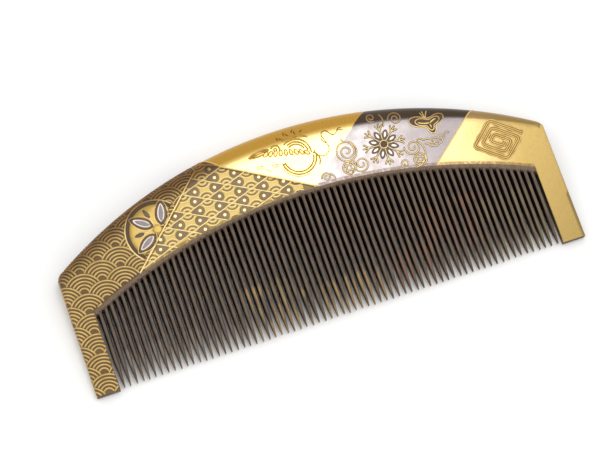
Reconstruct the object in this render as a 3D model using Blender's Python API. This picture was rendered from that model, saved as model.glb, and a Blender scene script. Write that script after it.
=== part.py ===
"""Lacquered dress comb: a wooden blank with sawn teeth, lacquer coats and raised inlay work.

The comb lies on its back. +X runs along its width, +Y points to the spine and +Z is up,
out of the decorated front. Every piece is built about the comb's middle plane and hung
from an empty that tips the wedge-shaped comb until its back is flat on Z = 0.
"""

import math

import bmesh
import bpy
from mathutils import Vector

MM = 0.001

# Blank
HALF_WIDTH = 57.5
ARC_RADIUS = 104.3
ARC_CENTRE_Y = -58.7
SHOULDER_RADIUS = 2.6
TIP_HALF_THICKNESS = 0.9
HALF_WEDGE = math.radians(3.86)
RIDGE_DEPTH_MIDDLE = 4.7
RIDGE_DEPTH_LOSS = 2.6
RIDGE_LOSS_AT = 54.0
EDGE_ROUNDING = 0.35
CUT_DEPTH = 8.0

# Teeth
TOOTH_COUNT = 71
FIELD_HALF_WIDTH = 52.1
GAP_WIDTH = 0.66
GAP_ARC_RADIUS = 123.7
GAP_ARC_TOP = 28.8
TAPER_START_Y = 8.6
TOOTH_TIP_Y = 0.3
TOOTH_TIP_WIDTH = 0.24
SHARPEN_START_Y = 5.0
TIP_HALF_HEIGHT = 0.28

# Lacquer coats
COAT = 0.45
CLEARANCE = 0.03
COAT_ARC_RADIUS = 128.0
COAT_ARC_TOP = 29.5
WAVE_SEAM_END = (-21.0, 41.3)
LATTICE_SEAM_END = (-15.2, 40.3)
LATTICE_SEAM_LEAN = -1.1
SPINE_REACH = 30.0

# Built-up work
RELIEF_GAP = 0.02
GROUND_HEIGHT = 0.2
RELIEF_HEIGHT = 0.38
LINE_WIDTH = 0.42

GOLD = (0.72, 0.50, 0.16, 1.0)
BRIGHT_GOLD = (0.92, 0.72, 0.30, 1.0)
DARK_GOLD = (0.46, 0.31, 0.11, 1.0)
SILVER = (0.62, 0.60, 0.64, 1.0)
SHELL_GREY = (0.45, 0.43, 0.47, 1.0)
DARK_LACQUER = (0.09, 0.055, 0.035, 1.0)
DARK_WOOD = (0.12, 0.085, 0.06, 1.0)


def clear_objects():
    for item in list(bpy.data.objects):
        bpy.data.objects.remove(item, do_unlink=True)


def collection(name, hidden=False):
    group = bpy.data.collections.new(name)
    bpy.context.scene.collection.children.link(group)
    group.hide_render = hidden
    return group


def material(name, colour, roughness, metallic):
    item = bpy.data.materials.new(name)
    item.use_nodes = True
    shader = item.node_tree.nodes["Principled BSDF"]
    shader.inputs["Base Color"].default_value = colour
    shader.inputs["Roughness"].default_value = roughness
    shader.inputs["Metallic"].default_value = metallic
    return item


def object_from_bmesh(name, bm, group, parent):
    bmesh.ops.recalc_face_normals(bm, faces=bm.faces)
    mesh = bpy.data.meshes.new(name)
    bm.to_mesh(mesh)
    bm.free()
    item = bpy.data.objects.new(name, mesh)
    item.parent = parent
    group.objects.link(item)
    return item


def as_cutter(item):
    item.hide_render = True
    item.display_type = "WIRE"
    return item


def boolean(item, operation, other):
    step = item.modifiers.new(operation.title(), "BOOLEAN")
    step.operation = operation
    step.object = other
    step.solver = "EXACT"


def half_thickness(y):
    return TIP_HALF_THICKNESS + y * math.tan(HALF_WEDGE)


def arc_y(x, radius, top):
    return top - radius + math.sqrt(radius * radius - x * x)


def ridge_depth(x):
    return RIDGE_DEPTH_MIDDLE - RIDGE_DEPTH_LOSS * (x / RIDGE_LOSS_AT) ** 2


def face_point(x, y):
    """A place seen from straight above the lying comb, as a place on the middle plane."""
    return (x, y * math.cos(HALF_WEDGE) / math.cos(2 * HALF_WEDGE))


def shoulder_arc(grow):
    """Centre and end angles of the rounding between a guard's side and the spine's arc."""
    side = HALF_WIDTH + grow
    big = ARC_RADIUS + grow
    small = SHOULDER_RADIUS + grow
    cx = side - small
    cy = ARC_CENTRE_Y + math.sqrt((big - small) ** 2 - cx * cx)
    return cx, cy, small, math.atan2(cy - ARC_CENTRE_Y, cx)


def outline_points(grow, bottom):
    """Right half of the outline as (x, y, outward x, outward y, edge rounding depth)."""
    cx, cy, small, end = shoulder_arc(grow)
    side = HALF_WIDTH + grow
    points = [(side, bottom, 1.0, 0.0, EDGE_ROUNDING)]
    steps = 8
    for i in range(steps + 1):
        turn = end * i / steps
        share = i / steps
        depth = EDGE_ROUNDING + share * (ridge_depth(cx) - EDGE_ROUNDING)
        nx, ny = math.cos(turn), math.sin(turn)
        points.append((cx + small * nx, cy + small * ny, nx, ny, depth))
    steps = 22
    big = ARC_RADIUS + grow
    for i in range(1, steps + 1):
        turn = end + (math.pi / 2 - end) * i / steps
        nx, ny = math.cos(turn), math.sin(turn)
        x = big * nx
        points.append((x, ARC_CENTRE_Y + big * ny, nx, ny, ridge_depth(x)))
    return points


def plate(name, grow, bottom, group, parent):
    """The whole comb body as a wedge with a rounded spine, made bigger or smaller all over."""
    right = outline_points(grow, bottom)
    left = [(-x, y, -nx, ny, d) for x, y, nx, ny, d in reversed(right[:-1])]
    sections = right + left
    bm = bmesh.new()
    turns = 10
    rows = []
    for x, y, nx, ny, depth in sections:
        depth = max(depth + grow, 0.1)
        inner_y = y - ny * depth
        height = half_thickness(inner_y) + grow
        row = []
        for k in range(turns + 1):
            turn = math.pi * k / turns
            back = depth * (1.0 - math.sin(turn))
            place = Vector((x - nx * back, y - ny * back, height * math.cos(turn)))
            row.append(bm.verts.new(place * MM))
        rows.append(row)
    for here, after in zip(rows, rows[1:]):
        for k in range(turns):
            bm.faces.new((here[k], after[k], after[k + 1], here[k + 1]))
    bm.faces.new([row[0] for row in rows])
    bm.faces.new([row[-1] for row in reversed(rows)])
    bm.faces.new(rows[0] + list(reversed(rows[-1])))
    return object_from_bmesh(name, bm, group, parent)


def prisms(name, outlines, low, high, group, parent):
    """Straight prisms on closed outlines, all in one object."""
    bm = bmesh.new()
    for outline in outlines:
        floor = bm.faces.new([bm.verts.new((x * MM, y * MM, low * MM)) for x, y in outline])
        raised = bmesh.ops.extrude_face_region(bm, geom=[floor])
        tops = [v for v in raised["geom"] if isinstance(v, bmesh.types.BMVert)]
        bmesh.ops.translate(bm, verts=tops, vec=(0, 0, (high - low) * MM))
    return object_from_bmesh(name, bm, group, parent)


def gap_outline(x):
    """One saw kerf, with the clearance that opens where the teeth come to a point."""
    half = GAP_WIDTH / 2
    pitch = 2 * (FIELD_HALF_WIDTH - half) / TOOTH_COUNT
    open_half = (pitch - TOOTH_TIP_WIDTH) / 2
    left = half if x < -FIELD_HALF_WIDTH + GAP_WIDTH else open_half
    right = half if x > FIELD_HALF_WIDTH - GAP_WIDTH else open_half
    top = arc_y(x, GAP_ARC_RADIUS, GAP_ARC_TOP)
    return [
        (x - left, TOOTH_TIP_Y - 0.2),
        (x - left, -2.0),
        (x + right, -2.0),
        (x + right, TOOTH_TIP_Y - 0.2),
        (x + half, TAPER_START_Y),
        (x + half, top - 0.15),
        (x + half * 0.5, top),
        (x - half * 0.5, top),
        (x - half, top - 0.15),
        (x - half, TAPER_START_Y),
    ]


def tip_cutters(group, parent):
    """Wedges above and below the teeth that bring them to a chisel point."""
    bm = bmesh.new()
    width = FIELD_HALF_WIDTH - 0.01
    thick = half_thickness(SHARPEN_START_Y) + 0.02
    for side in (-1, 1):
        profile = [
            (SHARPEN_START_Y, thick * side),
            (TOOTH_TIP_Y, TIP_HALF_HEIGHT * side),
            (-2.0, TIP_HALF_HEIGHT * side),
            (-2.0, 4.0 * side),
            (SHARPEN_START_Y, 4.0 * side),
        ]
        face = bm.faces.new([bm.verts.new((-width * MM, y * MM, z * MM)) for y, z in profile])
        raised = bmesh.ops.extrude_face_region(bm, geom=[face])
        ends = [v for v in raised["geom"] if isinstance(v, bmesh.types.BMVert)]
        bmesh.ops.translate(bm, verts=ends, vec=(2 * width * MM, 0, 0))
    return as_cutter(object_from_bmesh("tip_cutters", bm, group, parent))


def coat_region(grow, bottom):
    """Everything that lacquer covers: the spine above the tooth field and both guards."""
    edge = FIELD_HALF_WIDTH - grow
    steps = 32
    inner = []
    for i in range(steps + 1):
        x = edge - 2 * edge * i / steps
        inner.append((x, arc_y(x, COAT_ARC_RADIUS, COAT_ARC_TOP) - grow))
    far = HALF_WIDTH + 5.0
    return [(-far, 60.0), (-far, bottom), (-edge, bottom)] + inner[::-1] + [
        (edge, bottom),
        (far, bottom),
        (far, 60.0),
    ]


def seam_line(foot, head):
    """A straight seam between two coats, carried on past the tooth field and the spine."""
    start = Vector(face_point(*foot))
    along = (Vector(face_point(*head)) - start).normalized()
    return start - along * 14.0, start + along * 60.0


def between(left_seam, right_seam):
    """Outline of the coat between two seams, with half the seam's clearance taken off."""
    outline = []
    for seam, side in ((left_seam, 1), (right_seam, -1)):
        low, high = seam
        along = (high - low).normalized()
        away = Vector((along.y, -along.x)) * (CLEARANCE / 2 * side)
        outline.append((low + away, high + away))
    (left_low, left_high), (right_low, right_high) = outline
    return [tuple(left_low), tuple(right_low), tuple(right_high), tuple(left_high)]


def ribbon(points, width):
    """Outline of a band of even width along a path."""
    path = [Vector(p) for p in points]
    left = []
    right = []
    for i, here in enumerate(path):
        before = path[max(i - 1, 0)]
        after = path[min(i + 1, len(path) - 1)]
        along = (after - before).normalized()
        away = Vector((-along.y, along.x)) * (width / 2)
        left.append(tuple(here + away))
        right.append(tuple(here - away))
    return left + right[::-1]


def spiral(cx, cy, radius, turns, start, inner=0.35, direction=1):
    """A path that winds inward from a start angle in degrees."""
    steps = int(turns * 16)
    path = []
    for i in range(steps + 1):
        share = i / steps
        turn = math.radians(start) + direction * share * turns * 2 * math.pi
        r = radius + (inner - radius) * share
        path.append((cx + r * math.cos(turn), cy + r * math.sin(turn)))
    return path


def petal(cx, cy, length, width, heading, steps=7):
    """A pointed leaf outline about its middle; heading in degrees."""
    turn = math.radians(heading)
    ahead = Vector((math.cos(turn), math.sin(turn)))
    side = Vector((-ahead.y, ahead.x))
    outline = []
    for sign in (1, -1):
        for i in range(steps):
            share = i / steps if sign > 0 else 1.0 - i / steps
            bulge = math.sin(math.pi * share) ** 0.8
            place = Vector((cx, cy)) + ahead * length * (share - 0.5)
            outline.append(tuple(place + side * (sign * width / 2 * bulge)))
    return outline


def smooth_loop(points, steps=4):
    """A closed outline that runs smoothly through hand-placed corners."""
    count = len(points)
    corners = [Vector(p) for p in points]
    outline = []
    for i in range(count):
        a, b, c, d = (corners[(i + k - 1) % count] for k in range(4))
        for j in range(steps):
            t = j / steps
            place = 0.5 * (2 * b + (c - a) * t + (2 * a - 5 * b + 4 * c - d) * t * t)
            place += 0.5 * (3 * b - a - 3 * c + d) * t ** 3
            outline.append(tuple(place))
    return outline


def smooth_path(points, steps=4):
    """An open path that runs smoothly through hand-placed points."""
    first = tuple(2 * Vector(points[0]) - Vector(points[1]))
    last = tuple(2 * Vector(points[-1]) - Vector(points[-2]))
    loop = smooth_loop([first] + list(points) + [last], steps)
    return loop[steps:steps * (len(points)) + 1]


def frost_flower(cx, cy, reach, arms, width):
    """Outline of a snow crystal whose arms each carry two side twigs."""
    outline = []
    half = width / 2
    hub = 1.05
    twig_at = 0.62 * reach
    twig = 0.95
    for arm in range(arms):
        turn = 2 * math.pi * arm / arms + math.radians(91)
        out = Vector((math.cos(turn), math.sin(turn)))
        side = Vector((-out.y, out.x))
        # Each pair is distance out along the arm and distance to its right side.
        right = [
            (hub, half),
            (twig_at - 0.25, half),
            (twig_at + twig * 0.75, half + twig),
            (twig_at + twig * 0.75 + 0.42, half + twig - 0.32),
            (twig_at + 0.42, half),
            (reach, half),
        ]
        for distance, offset in right:
            outline.append(tuple(Vector((cx, cy)) + out * distance - side * offset))
        for distance, offset in reversed(right):
            outline.append(tuple(Vector((cx, cy)) + out * distance + side * offset))
    return outline


def rounded_square_spiral(cx, cy, half_x, half_y, tilt, laps, step):
    """A spiral with four rounded sides, winding inward."""
    samples = 28
    path = []
    for i in range(int(laps * samples) + 1):
        turn = 2 * math.pi * i / samples
        shrink = step * i / samples
        power = 0.42
        c, s = math.cos(turn), math.sin(turn)
        x = (half_x - shrink) * math.copysign(abs(c) ** power, c)
        y = (half_y - shrink) * math.copysign(abs(s) ** power, s)
        ct, st = math.cos(tilt), math.sin(tilt)
        path.append((cx + x * ct - y * st, cy + x * st + y * ct))
    return path


def on_face(points):
    return [face_point(x, y) for x, y in points]


clear_objects()
parts = collection("hair_comb")
cutters = collection("cutters", hidden=True)

comb_frame = bpy.data.objects.new("comb_frame", None)
parts.objects.link(comb_frame)
comb_frame.rotation_euler = (HALF_WEDGE, 0.0, 0.0)

# Bodies that the pieces are cut from
outer = as_cutter(plate("outer_form", 0.0, 0.0, cutters, comb_frame))
inner = as_cutter(plate("inner_form", -COAT, -2.0, cutters, comb_frame))
rebate_form = as_cutter(plate("rebate_form", -COAT - CLEARANCE, -3.0, cutters, comb_frame))
relief_floor = as_cutter(plate("relief_floor", RELIEF_GAP, -1.0, cutters, comb_frame))
ground_top = as_cutter(plate("ground_top", GROUND_HEIGHT, -1.0, cutters, comb_frame))
inlay_floor_height = GROUND_HEIGHT + RELIEF_GAP
inlay_floor = as_cutter(plate("inlay_floor", inlay_floor_height, -1.0, cutters, comb_frame))
relief_top = as_cutter(plate("relief_top", RELIEF_HEIGHT, -1.0, cutters, comb_frame))

# Wooden blank
blank = plate("comb_blank", 0.0, 0.0, parts, comb_frame)
blank.data.materials.append(material("comb_blank", DARK_WOOD, 0.55, 0.0))
rebate = prisms("rebate", [coat_region(CLEARANCE, -4.0)], -9.0, 9.0, cutters, comb_frame)
boolean(as_cutter(rebate), "DIFFERENCE", rebate_form)
gap_span = FIELD_HALF_WIDTH - GAP_WIDTH / 2
gap_outlines = [
    gap_outline(-gap_span + 2 * gap_span * i / TOOTH_COUNT) for i in range(TOOTH_COUNT + 1)
]
kerfs = as_cutter(prisms("kerfs", gap_outlines, -CUT_DEPTH, CUT_DEPTH, cutters, comb_frame))
points_trim = FIELD_HALF_WIDTH - 0.01
tip_line = [
    (-points_trim, -3.0),
    (points_trim, -3.0),
    (points_trim, TOOTH_TIP_Y),
    (-points_trim, TOOTH_TIP_Y),
]
tip_trim = as_cutter(prisms("tip_trim", [tip_line], -CUT_DEPTH, CUT_DEPTH, cutters, comb_frame))
boolean(blank, "DIFFERENCE", rebate)
boolean(blank, "DIFFERENCE", tip_cutters(cutters, comb_frame))
boolean(blank, "DIFFERENCE", tip_trim)
boolean(blank, "DIFFERENCE", kerfs)

# Lacquer coats, left to right between their seams
coat_form = as_cutter(prisms("coat_region", [coat_region(0.0, 0.0)], -9.0, 9.0, cutters, comb_frame))
wave_seam = seam_line((-39.7, 23.3), WAVE_SEAM_END)
lattice_seam = seam_line((4.3, 29.2), LATTICE_SEAM_END)
silver_seam = seam_line((3.6, 29.6), (15.0, 39.1))
plain_seam = seam_line((31.2, 25.8), (40.0, 33.0))


def crossing(seam, other):
    """Where two seams would meet."""
    a, b = seam
    c, d = other
    along = b - a
    across = d - c
    share = (c - a).cross(across) / along.cross(across)
    return a + along * share


def coat(name, outline, colour, roughness, metallic):
    item = prisms(name, [outline], -8.5, 8.5, parts, comb_frame)
    item.data.materials.append(material(name, colour, roughness, metallic))
    boolean(item, "INTERSECT", coat_form)
    boolean(item, "INTERSECT", outer)
    boolean(item, "DIFFERENCE", inner)
    return item


def over_spine(x, y, lean=0.0):
    """A far point reached by going from a seam's end over the spine, square to it but for a lean."""
    end = Vector(face_point(x, y))
    square = (end - Vector((0.0, ARC_CENTRE_Y))).normalized()
    return end, end + (square + Vector((lean, 0.0))) * SPINE_REACH


gap = CLEARANCE / 2
# Two seams turn to run over the spine, and two meet in a point above the tooth field.
field_point = crossing(lattice_seam, silver_seam)
wave_low = wave_seam[0]
wave_end, wave_over = over_spine(*WAVE_SEAM_END)
lattice_end, lattice_over = over_spine(*LATTICE_SEAM_END, LATTICE_SEAM_LEAN)
past_spine = crossing((wave_end, wave_over), (lattice_end, lattice_over))
silver_high = silver_seam[1]
plain_low, plain_high = plain_seam
coat(
    "wave_panel_skin",
    [
        (-70.0, -10.0),
        (-FIELD_HALF_WIDTH + 6.0, -10.0),
        (wave_low.x - gap, wave_low.y),
        (wave_end.x - gap, wave_end.y),
        (wave_over.x - gap, wave_over.y),
        (-70.0, wave_over.y),
    ],
    GOLD,
    0.38,
    0.8,
)
coat(
    "lattice_panel_skin",
    [
        (wave_low.x + gap, wave_low.y),
        (field_point.x - gap, wave_low.y),
        (field_point.x - gap, field_point.y - gap),
        (lattice_end.x - gap, lattice_end.y),
        (past_spine.x, past_spine.y),
        (wave_end.x + gap, wave_end.y),
    ],
    GOLD,
    0.36,
    0.8,
)
coat(
    "phoenix_panel_skin",
    [
        (field_point.x, field_point.y + 2 * gap),
        (silver_high.x - gap, silver_high.y + gap),
        (0.0, 120.0),
        (lattice_over.x + gap, lattice_over.y),
        (lattice_end.x + gap, lattice_end.y),
    ],
    BRIGHT_GOLD,
    0.3,
    0.9,
)
coat(
    "silver_panel_skin",
    [
        (field_point.x + gap, plain_low.y),
        (plain_low.x - gap, plain_low.y),
        (plain_high.x - gap, plain_high.y),
        (silver_high.x + gap, silver_high.y - gap),
        (field_point.x + gap, field_point.y - gap),
    ],
    SILVER,
    0.42,
    0.6,
)
coat(
    "plain_gold_panel_skin",
    [
        (FIELD_HALF_WIDTH - 6.0, -10.0),
        (90.0, -10.0),
        (90.0, plain_high.y),
        (plain_high.x + gap, plain_high.y),
        (plain_low.x + gap, plain_low.y),
    ],
    BRIGHT_GOLD,
    0.34,
    0.9,
)


# Built-up work on the front: each piece follows the face and the turn of the spine under it
def relief(name, outline, colour, roughness, metallic, low=None, high=None):
    item = prisms(name, [outline], 0.4, 6.0, parts, comb_frame)
    item.data.materials.append(material(name, colour, roughness, metallic))
    boolean(item, "INTERSECT", high or relief_top)
    boolean(item, "DIFFERENCE", low or relief_floor)
    return item


def line_relief(name, path, colour, width=LINE_WIDTH, low=None, high=None):
    relief(name, ribbon(on_face(path), width), colour, 0.34, 0.9, low, high)


# Half-flower roundel over the wave coat
rim_path = smooth_path(
    [
        (-38.2, 25.5),
        (-39.5, 28.0),
        (-40.4, 30.6),
        (-40.0, 33.2),
        (-38.4, 35.2),
        (-36.2, 36.9),
        (-33.8, 38.0),
        (-31.2, 37.9),
        (-29.2, 36.9),
        (-28.2, 35.9),
    ]
)
ground_edge = smooth_path(
    [
        (-37.2, 26.3),
        (-38.7, 28.4),
        (-39.5, 30.7),
        (-39.1, 32.8),
        (-37.7, 34.5),
        (-35.7, 36.1),
        (-33.6, 37.1),
        (-31.5, 37.0),
        (-29.9, 36.2),
        (-29.2, 35.2),
    ]
)
line_relief("medallion_rim", rim_path, GOLD, 0.7)
relief("medallion_ground", on_face(ground_edge), BRIGHT_GOLD, 0.35, 0.9, relief_floor, ground_top)
heart = [(-33.2 + 1.1 * math.cos(i * math.pi / 8), 31.2 + 1.1 * math.sin(i * math.pi / 8)) for i in range(16)]
relief("medallion_heart", on_face(heart), BRIGHT_GOLD, 0.35, 0.9, inlay_floor, relief_top)
for name, cx, cy, length, width, heading in (
    ("medallion_petal_upper", -31.2, 34.6, 4.9, 2.0, 68),
    ("medallion_petal_left", -36.0, 33.5, 4.6, 1.9, 146),
    ("medallion_petal_lower", -36.1, 29.0, 4.9, 2.0, 208),
):
    outline = on_face(petal(cx, cy, length, width, heading))
    relief(name, outline, SHELL_GREY, 0.3, 0.5, inlay_floor, relief_top)
for name, cx, cy, heading in (
    ("medallion_bud_upper", -34.2, 35.3, 102),
    ("medallion_bud_left", -37.7, 31.0, 180),
):
    outline = on_face(petal(cx, cy, 1.9, 0.8, heading))
    relief(name, outline, DARK_LACQUER, 0.4, 0.0, inlay_floor, relief_top)

# Bird
wing_bar = [(-8.8, 40.3), (-8.3, 40.8), (-6.0, 41.0), (-4.0, 41.2), (-4.1, 40.6), (-6.0, 40.1), (-8.2, 39.8)]
relief("bird_wing_bar", on_face(smooth_loop(wing_bar)), GOLD, 0.34, 0.9)
plumage = [(-4.8, 39.9), (-3.4, 40.2), (-0.4, 40.1), (2.0, 39.8), (3.9, 39.0)]
feather_tips = []
for i in range(6):
    x = 3.2 - 1.45 * i
    y = 38.2 + 0.035 * (x - 1.0) ** 2
    feather_tips.append((x + 0.5, y + 0.55))
    feather_tips.append((x + 0.28, y - 0.1))
    feather_tips.append((x - 0.28, y - 0.1))
    feather_tips.append((x - 0.5, y + 0.55))
relief("bird_plumage", on_face(plumage + feather_tips), GOLD, 0.34, 0.9)
body = [(-2.7, 41.2), (0.4, 41.5), (3.2, 41.0), (5.0, 39.8), (5.5, 38.2), (4.9, 38.0), (4.2, 39.2), (2.6, 40.2), (0.2, 40.6), (-2.6, 40.7)]
relief("bird_body", on_face(smooth_loop(body)), GOLD, 0.34, 0.9)
tail = smooth_path([(-1.4, 36.7), (-1.3, 35.2), (-0.2, 34.1), (1.5, 33.4), (3.5, 33.3), (5.3, 34.0), (6.2, 35.2), (6.2, 36.6), (5.3, 37.4)])
line_relief("bird_tail_ring", tail, GOLD, 0.95)
streamer = smooth_path([(6.9, 36.5), (7.9, 35.5), (9.1, 36.7), (9.5, 38.0), (8.9, 39.1), (8.5, 40.2), (9.6, 40.5), (10.7, 40.2), (11.6, 39.4), (12.2, 40.1), (13.6, 40.0)])
line_relief("bird_ribbon", streamer, DARK_GOLD, 0.36)

# Snow crystal, butterfly and vines on the silver
crystal = frost_flower(21.3, 33.9, 4.8, 8, LINE_WIDTH)
relief("frost_flower", on_face(crystal), GOLD, 0.34, 0.9)
wings = [(28.5, 37.4), (28.9, 36.1), (30.0, 34.8), (31.4, 33.9), (32.7, 33.0), (33.8, 33.3), (34.7, 34.5), (35.9, 35.3), (36.5, 36.1), (36.0, 36.8), (34.9, 36.8), (33.6, 36.3), (32.6, 36.2), (31.2, 36.8), (29.8, 37.4)]
relief("butterfly_wings", on_face(smooth_loop(wings)), GOLD, 0.34, 0.9)
feelers = [(32.3, 36.6), (31.0, 38.1), (31.5, 38.3), (32.4, 37.3), (32.5, 38.5), (32.9, 38.5), (32.9, 37.3), (33.8, 38.1), (34.1, 37.8), (33.3, 36.7)]
relief("butterfly_feelers", on_face(feelers), GOLD, 0.34, 0.9)
line_relief("vine_scroll_upper", spiral(12.5, 34.9, 2.2, 1.6, 250, direction=-1), GOLD)
line_relief("vine_scroll_lower", spiral(15.1, 31.4, 1.8, 1.5, 190, direction=-1), GOLD)
line_relief("vine_scroll_right", spiral(27.5, 31.3, 1.9, 1.6, 250, direction=-1), GOLD)
line_relief("vine_scroll_small", spiral(24.7, 28.5, 1.1, 1.2, 270, direction=-1), GOLD, 0.36)
spray = [(29.6, 32.2), (30.9, 31.0), (32.4, 31.9), (32.6, 31.2), (34.6, 32.4), (34.3, 31.5), (36.2, 32.2), (34.6, 30.9), (34.2, 30.4), (33.2, 29.5), (31.4, 30.0), (30.2, 31.1)]
relief("leaf_spray", on_face(spray), GOLD, 0.34, 0.9)
line_relief("ridge_scroll", spiral(26.0, 38.6, 1.55, 1.5, 160, direction=-1), GOLD)

# Square spiral on the plain gold
key = rounded_square_spiral(46.4, 26.8, 4.3, 4.1, math.radians(-47), 3.4, 1.05)
line_relief("square_spiral", key, BRIGHT_GOLD, 0.55)


def settle():
    """Rest the comb on Z = 0 with the middle of its footprint over the origin."""
    bpy.context.view_layer.update()
    graph = bpy.context.evaluated_depsgraph_get()
    corners = []
    for item in parts.objects:
        if item.type == "MESH":
            shape = item.evaluated_get(graph)
            corners += [shape.matrix_world @ vertex.co for vertex in shape.data.vertices]
    low = Vector([min(c[k] for c in corners) for k in range(3)])
    high = Vector([max(c[k] for c in corners) for k in range(3)])
    middle = (low + high) / 2
    comb_frame.location -= Vector((middle.x, middle.y, low.z))


settle()
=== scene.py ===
"""Lacquered dress comb lying on its back on a white table.

Lengths are in millimetres until a mesh is made. "Plan" places are places on the comb as seen
from straight above with its rounded spine rolled out flat, so a line drawn past the spine's
edge carries on over it. drape() rolls such a place back onto the comb.
"""

import math
import random

import bmesh
import bpy
import numpy as np
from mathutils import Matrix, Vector


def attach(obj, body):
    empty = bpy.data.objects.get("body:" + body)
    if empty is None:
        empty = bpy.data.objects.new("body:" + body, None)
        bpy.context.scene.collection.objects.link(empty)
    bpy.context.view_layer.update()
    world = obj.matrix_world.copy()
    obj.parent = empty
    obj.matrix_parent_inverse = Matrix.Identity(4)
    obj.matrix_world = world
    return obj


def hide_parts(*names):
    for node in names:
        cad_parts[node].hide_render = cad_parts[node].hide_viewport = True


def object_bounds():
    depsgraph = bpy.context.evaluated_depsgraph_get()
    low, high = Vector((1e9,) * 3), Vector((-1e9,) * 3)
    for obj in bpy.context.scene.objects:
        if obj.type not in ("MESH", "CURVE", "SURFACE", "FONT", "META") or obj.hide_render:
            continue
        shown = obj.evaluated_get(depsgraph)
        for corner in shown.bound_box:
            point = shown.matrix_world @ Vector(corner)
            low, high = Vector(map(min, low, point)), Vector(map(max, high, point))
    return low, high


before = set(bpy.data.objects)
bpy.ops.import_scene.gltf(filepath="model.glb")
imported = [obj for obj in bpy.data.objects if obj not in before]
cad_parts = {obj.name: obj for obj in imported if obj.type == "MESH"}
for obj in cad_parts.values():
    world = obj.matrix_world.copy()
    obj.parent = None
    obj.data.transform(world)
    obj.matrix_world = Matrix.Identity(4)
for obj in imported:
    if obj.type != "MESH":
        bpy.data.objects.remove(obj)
CAD_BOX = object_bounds()

MM = 0.001
HALF_WEDGE = math.radians(3.86)
TIP_HALF_THICKNESS = 0.9
# The CAD body starts this far before its own zero, because the wedge is tipped onto its back.
TIPPED_BACK = TIP_HALF_THICKNESS * math.sin(HALF_WEDGE)
MIDDLE_Y = -CAD_BOX[0][1] / MM - TIPPED_BACK
LIFT_Z = TIP_HALF_THICKNESS * math.cos(HALF_WEDGE)

HALF_WIDTH = CAD_BOX[1][0] / MM
ARC_RADIUS = 104.3
ARC_Y = -58.7
SHOULDER_RADIUS = 2.6
SHOULDER_X = HALF_WIDTH - SHOULDER_RADIUS
SHOULDER_Y = ARC_Y + math.sqrt((ARC_RADIUS - SHOULDER_RADIUS) ** 2 - SHOULDER_X ** 2)
SHOULDER_TURN = math.atan2(SHOULDER_Y - ARC_Y, SHOULDER_X)
EDGE_ROUNDING = 0.35
# How deep the spine's rounding reaches: at the middle, and what it has lost at one place
RIDGE_MIDDLE = 4.7
RIDGE_LOSS = 2.6
RIDGE_LOSS_X = 54.0
FIELD = 52.1
TOOTH_COUNT = 71
GAP_WIDTH = 0.66
GAP_ARC = (123.7, 28.8)
COAT_ARC = (128.0, 29.5)
COAT = 0.4

rng = random.Random(7)


# ---------- the comb's surface


def half_thickness(y):
    return TIP_HALF_THICKNESS + y * math.tan(HALF_WEDGE)


def arc_y(x, arc):
    radius, top = arc
    return top - radius + np.sqrt(radius * radius - np.asarray(x, float) ** 2)


def ridge_depth(x):
    return RIDGE_MIDDLE - RIDGE_LOSS * (np.asarray(x, float) / RIDGE_LOSS_X) ** 2


def edge_zone(x, y):
    """Distance inside the outline, depth of the edge rounding there, and the outward direction."""
    x = np.asarray(x, float)
    y = np.asarray(y, float)
    ax = np.abs(x)
    sign = np.where(x < 0, -1.0, 1.0)
    rho = np.hypot(ax, y - ARC_Y)
    turn = np.arctan2(y - ARC_Y, ax)
    on_arc = turn >= SHOULDER_TURN
    dx, dy = ax - SHOULDER_X, y - SHOULDER_Y
    around = np.arctan2(dy, dx)
    on_corner = ~on_arc & (dy > 0)
    corner_share = np.clip(around / SHOULDER_TURN, 0.0, 1.0)
    top_depth = ridge_depth(SHOULDER_X)
    inside = np.where(on_arc, ARC_RADIUS - rho, HALF_WIDTH - ax)
    inside = np.where(on_corner, SHOULDER_RADIUS - np.hypot(dx, dy), inside)
    depth = np.where(on_arc, ridge_depth(ARC_RADIUS * np.cos(turn)), EDGE_ROUNDING)
    corner_depth = EDGE_ROUNDING + corner_share * (top_depth - EDGE_ROUNDING)
    depth = np.where(on_corner, corner_depth, depth)
    nx = np.where(on_arc, np.cos(turn), 1.0)
    ny = np.where(on_arc, np.sin(turn), 0.0)
    nx = np.where(on_corner, np.cos(around), nx)
    ny = np.where(on_corner, np.sin(around), ny)
    return inside, depth, nx * sign, ny


def quarter_lengths(depth, height, steps=24):
    """Running length over the rounding, from the flat to the outermost line, for each place."""
    turns = np.linspace(0.0, math.pi / 2, steps + 1)
    mid = (turns[1:] + turns[:-1]) / 2
    d = np.atleast_1d(depth)[:, None]
    h = np.atleast_1d(height)[:, None]
    pieces = np.sqrt((d * np.cos(mid)) ** 2 + (h * np.sin(mid)) ** 2) * (turns[1] - turns[0])
    return turns, np.concatenate([np.zeros((len(d), 1)), np.cumsum(pieces, 1)], 1)


def rounding(x, y):
    inside, depth, nx, ny = edge_zone(x, y)
    past = depth - inside
    height = half_thickness(np.asarray(y, float) - ny * past)
    return past, depth, height, nx, ny


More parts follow.
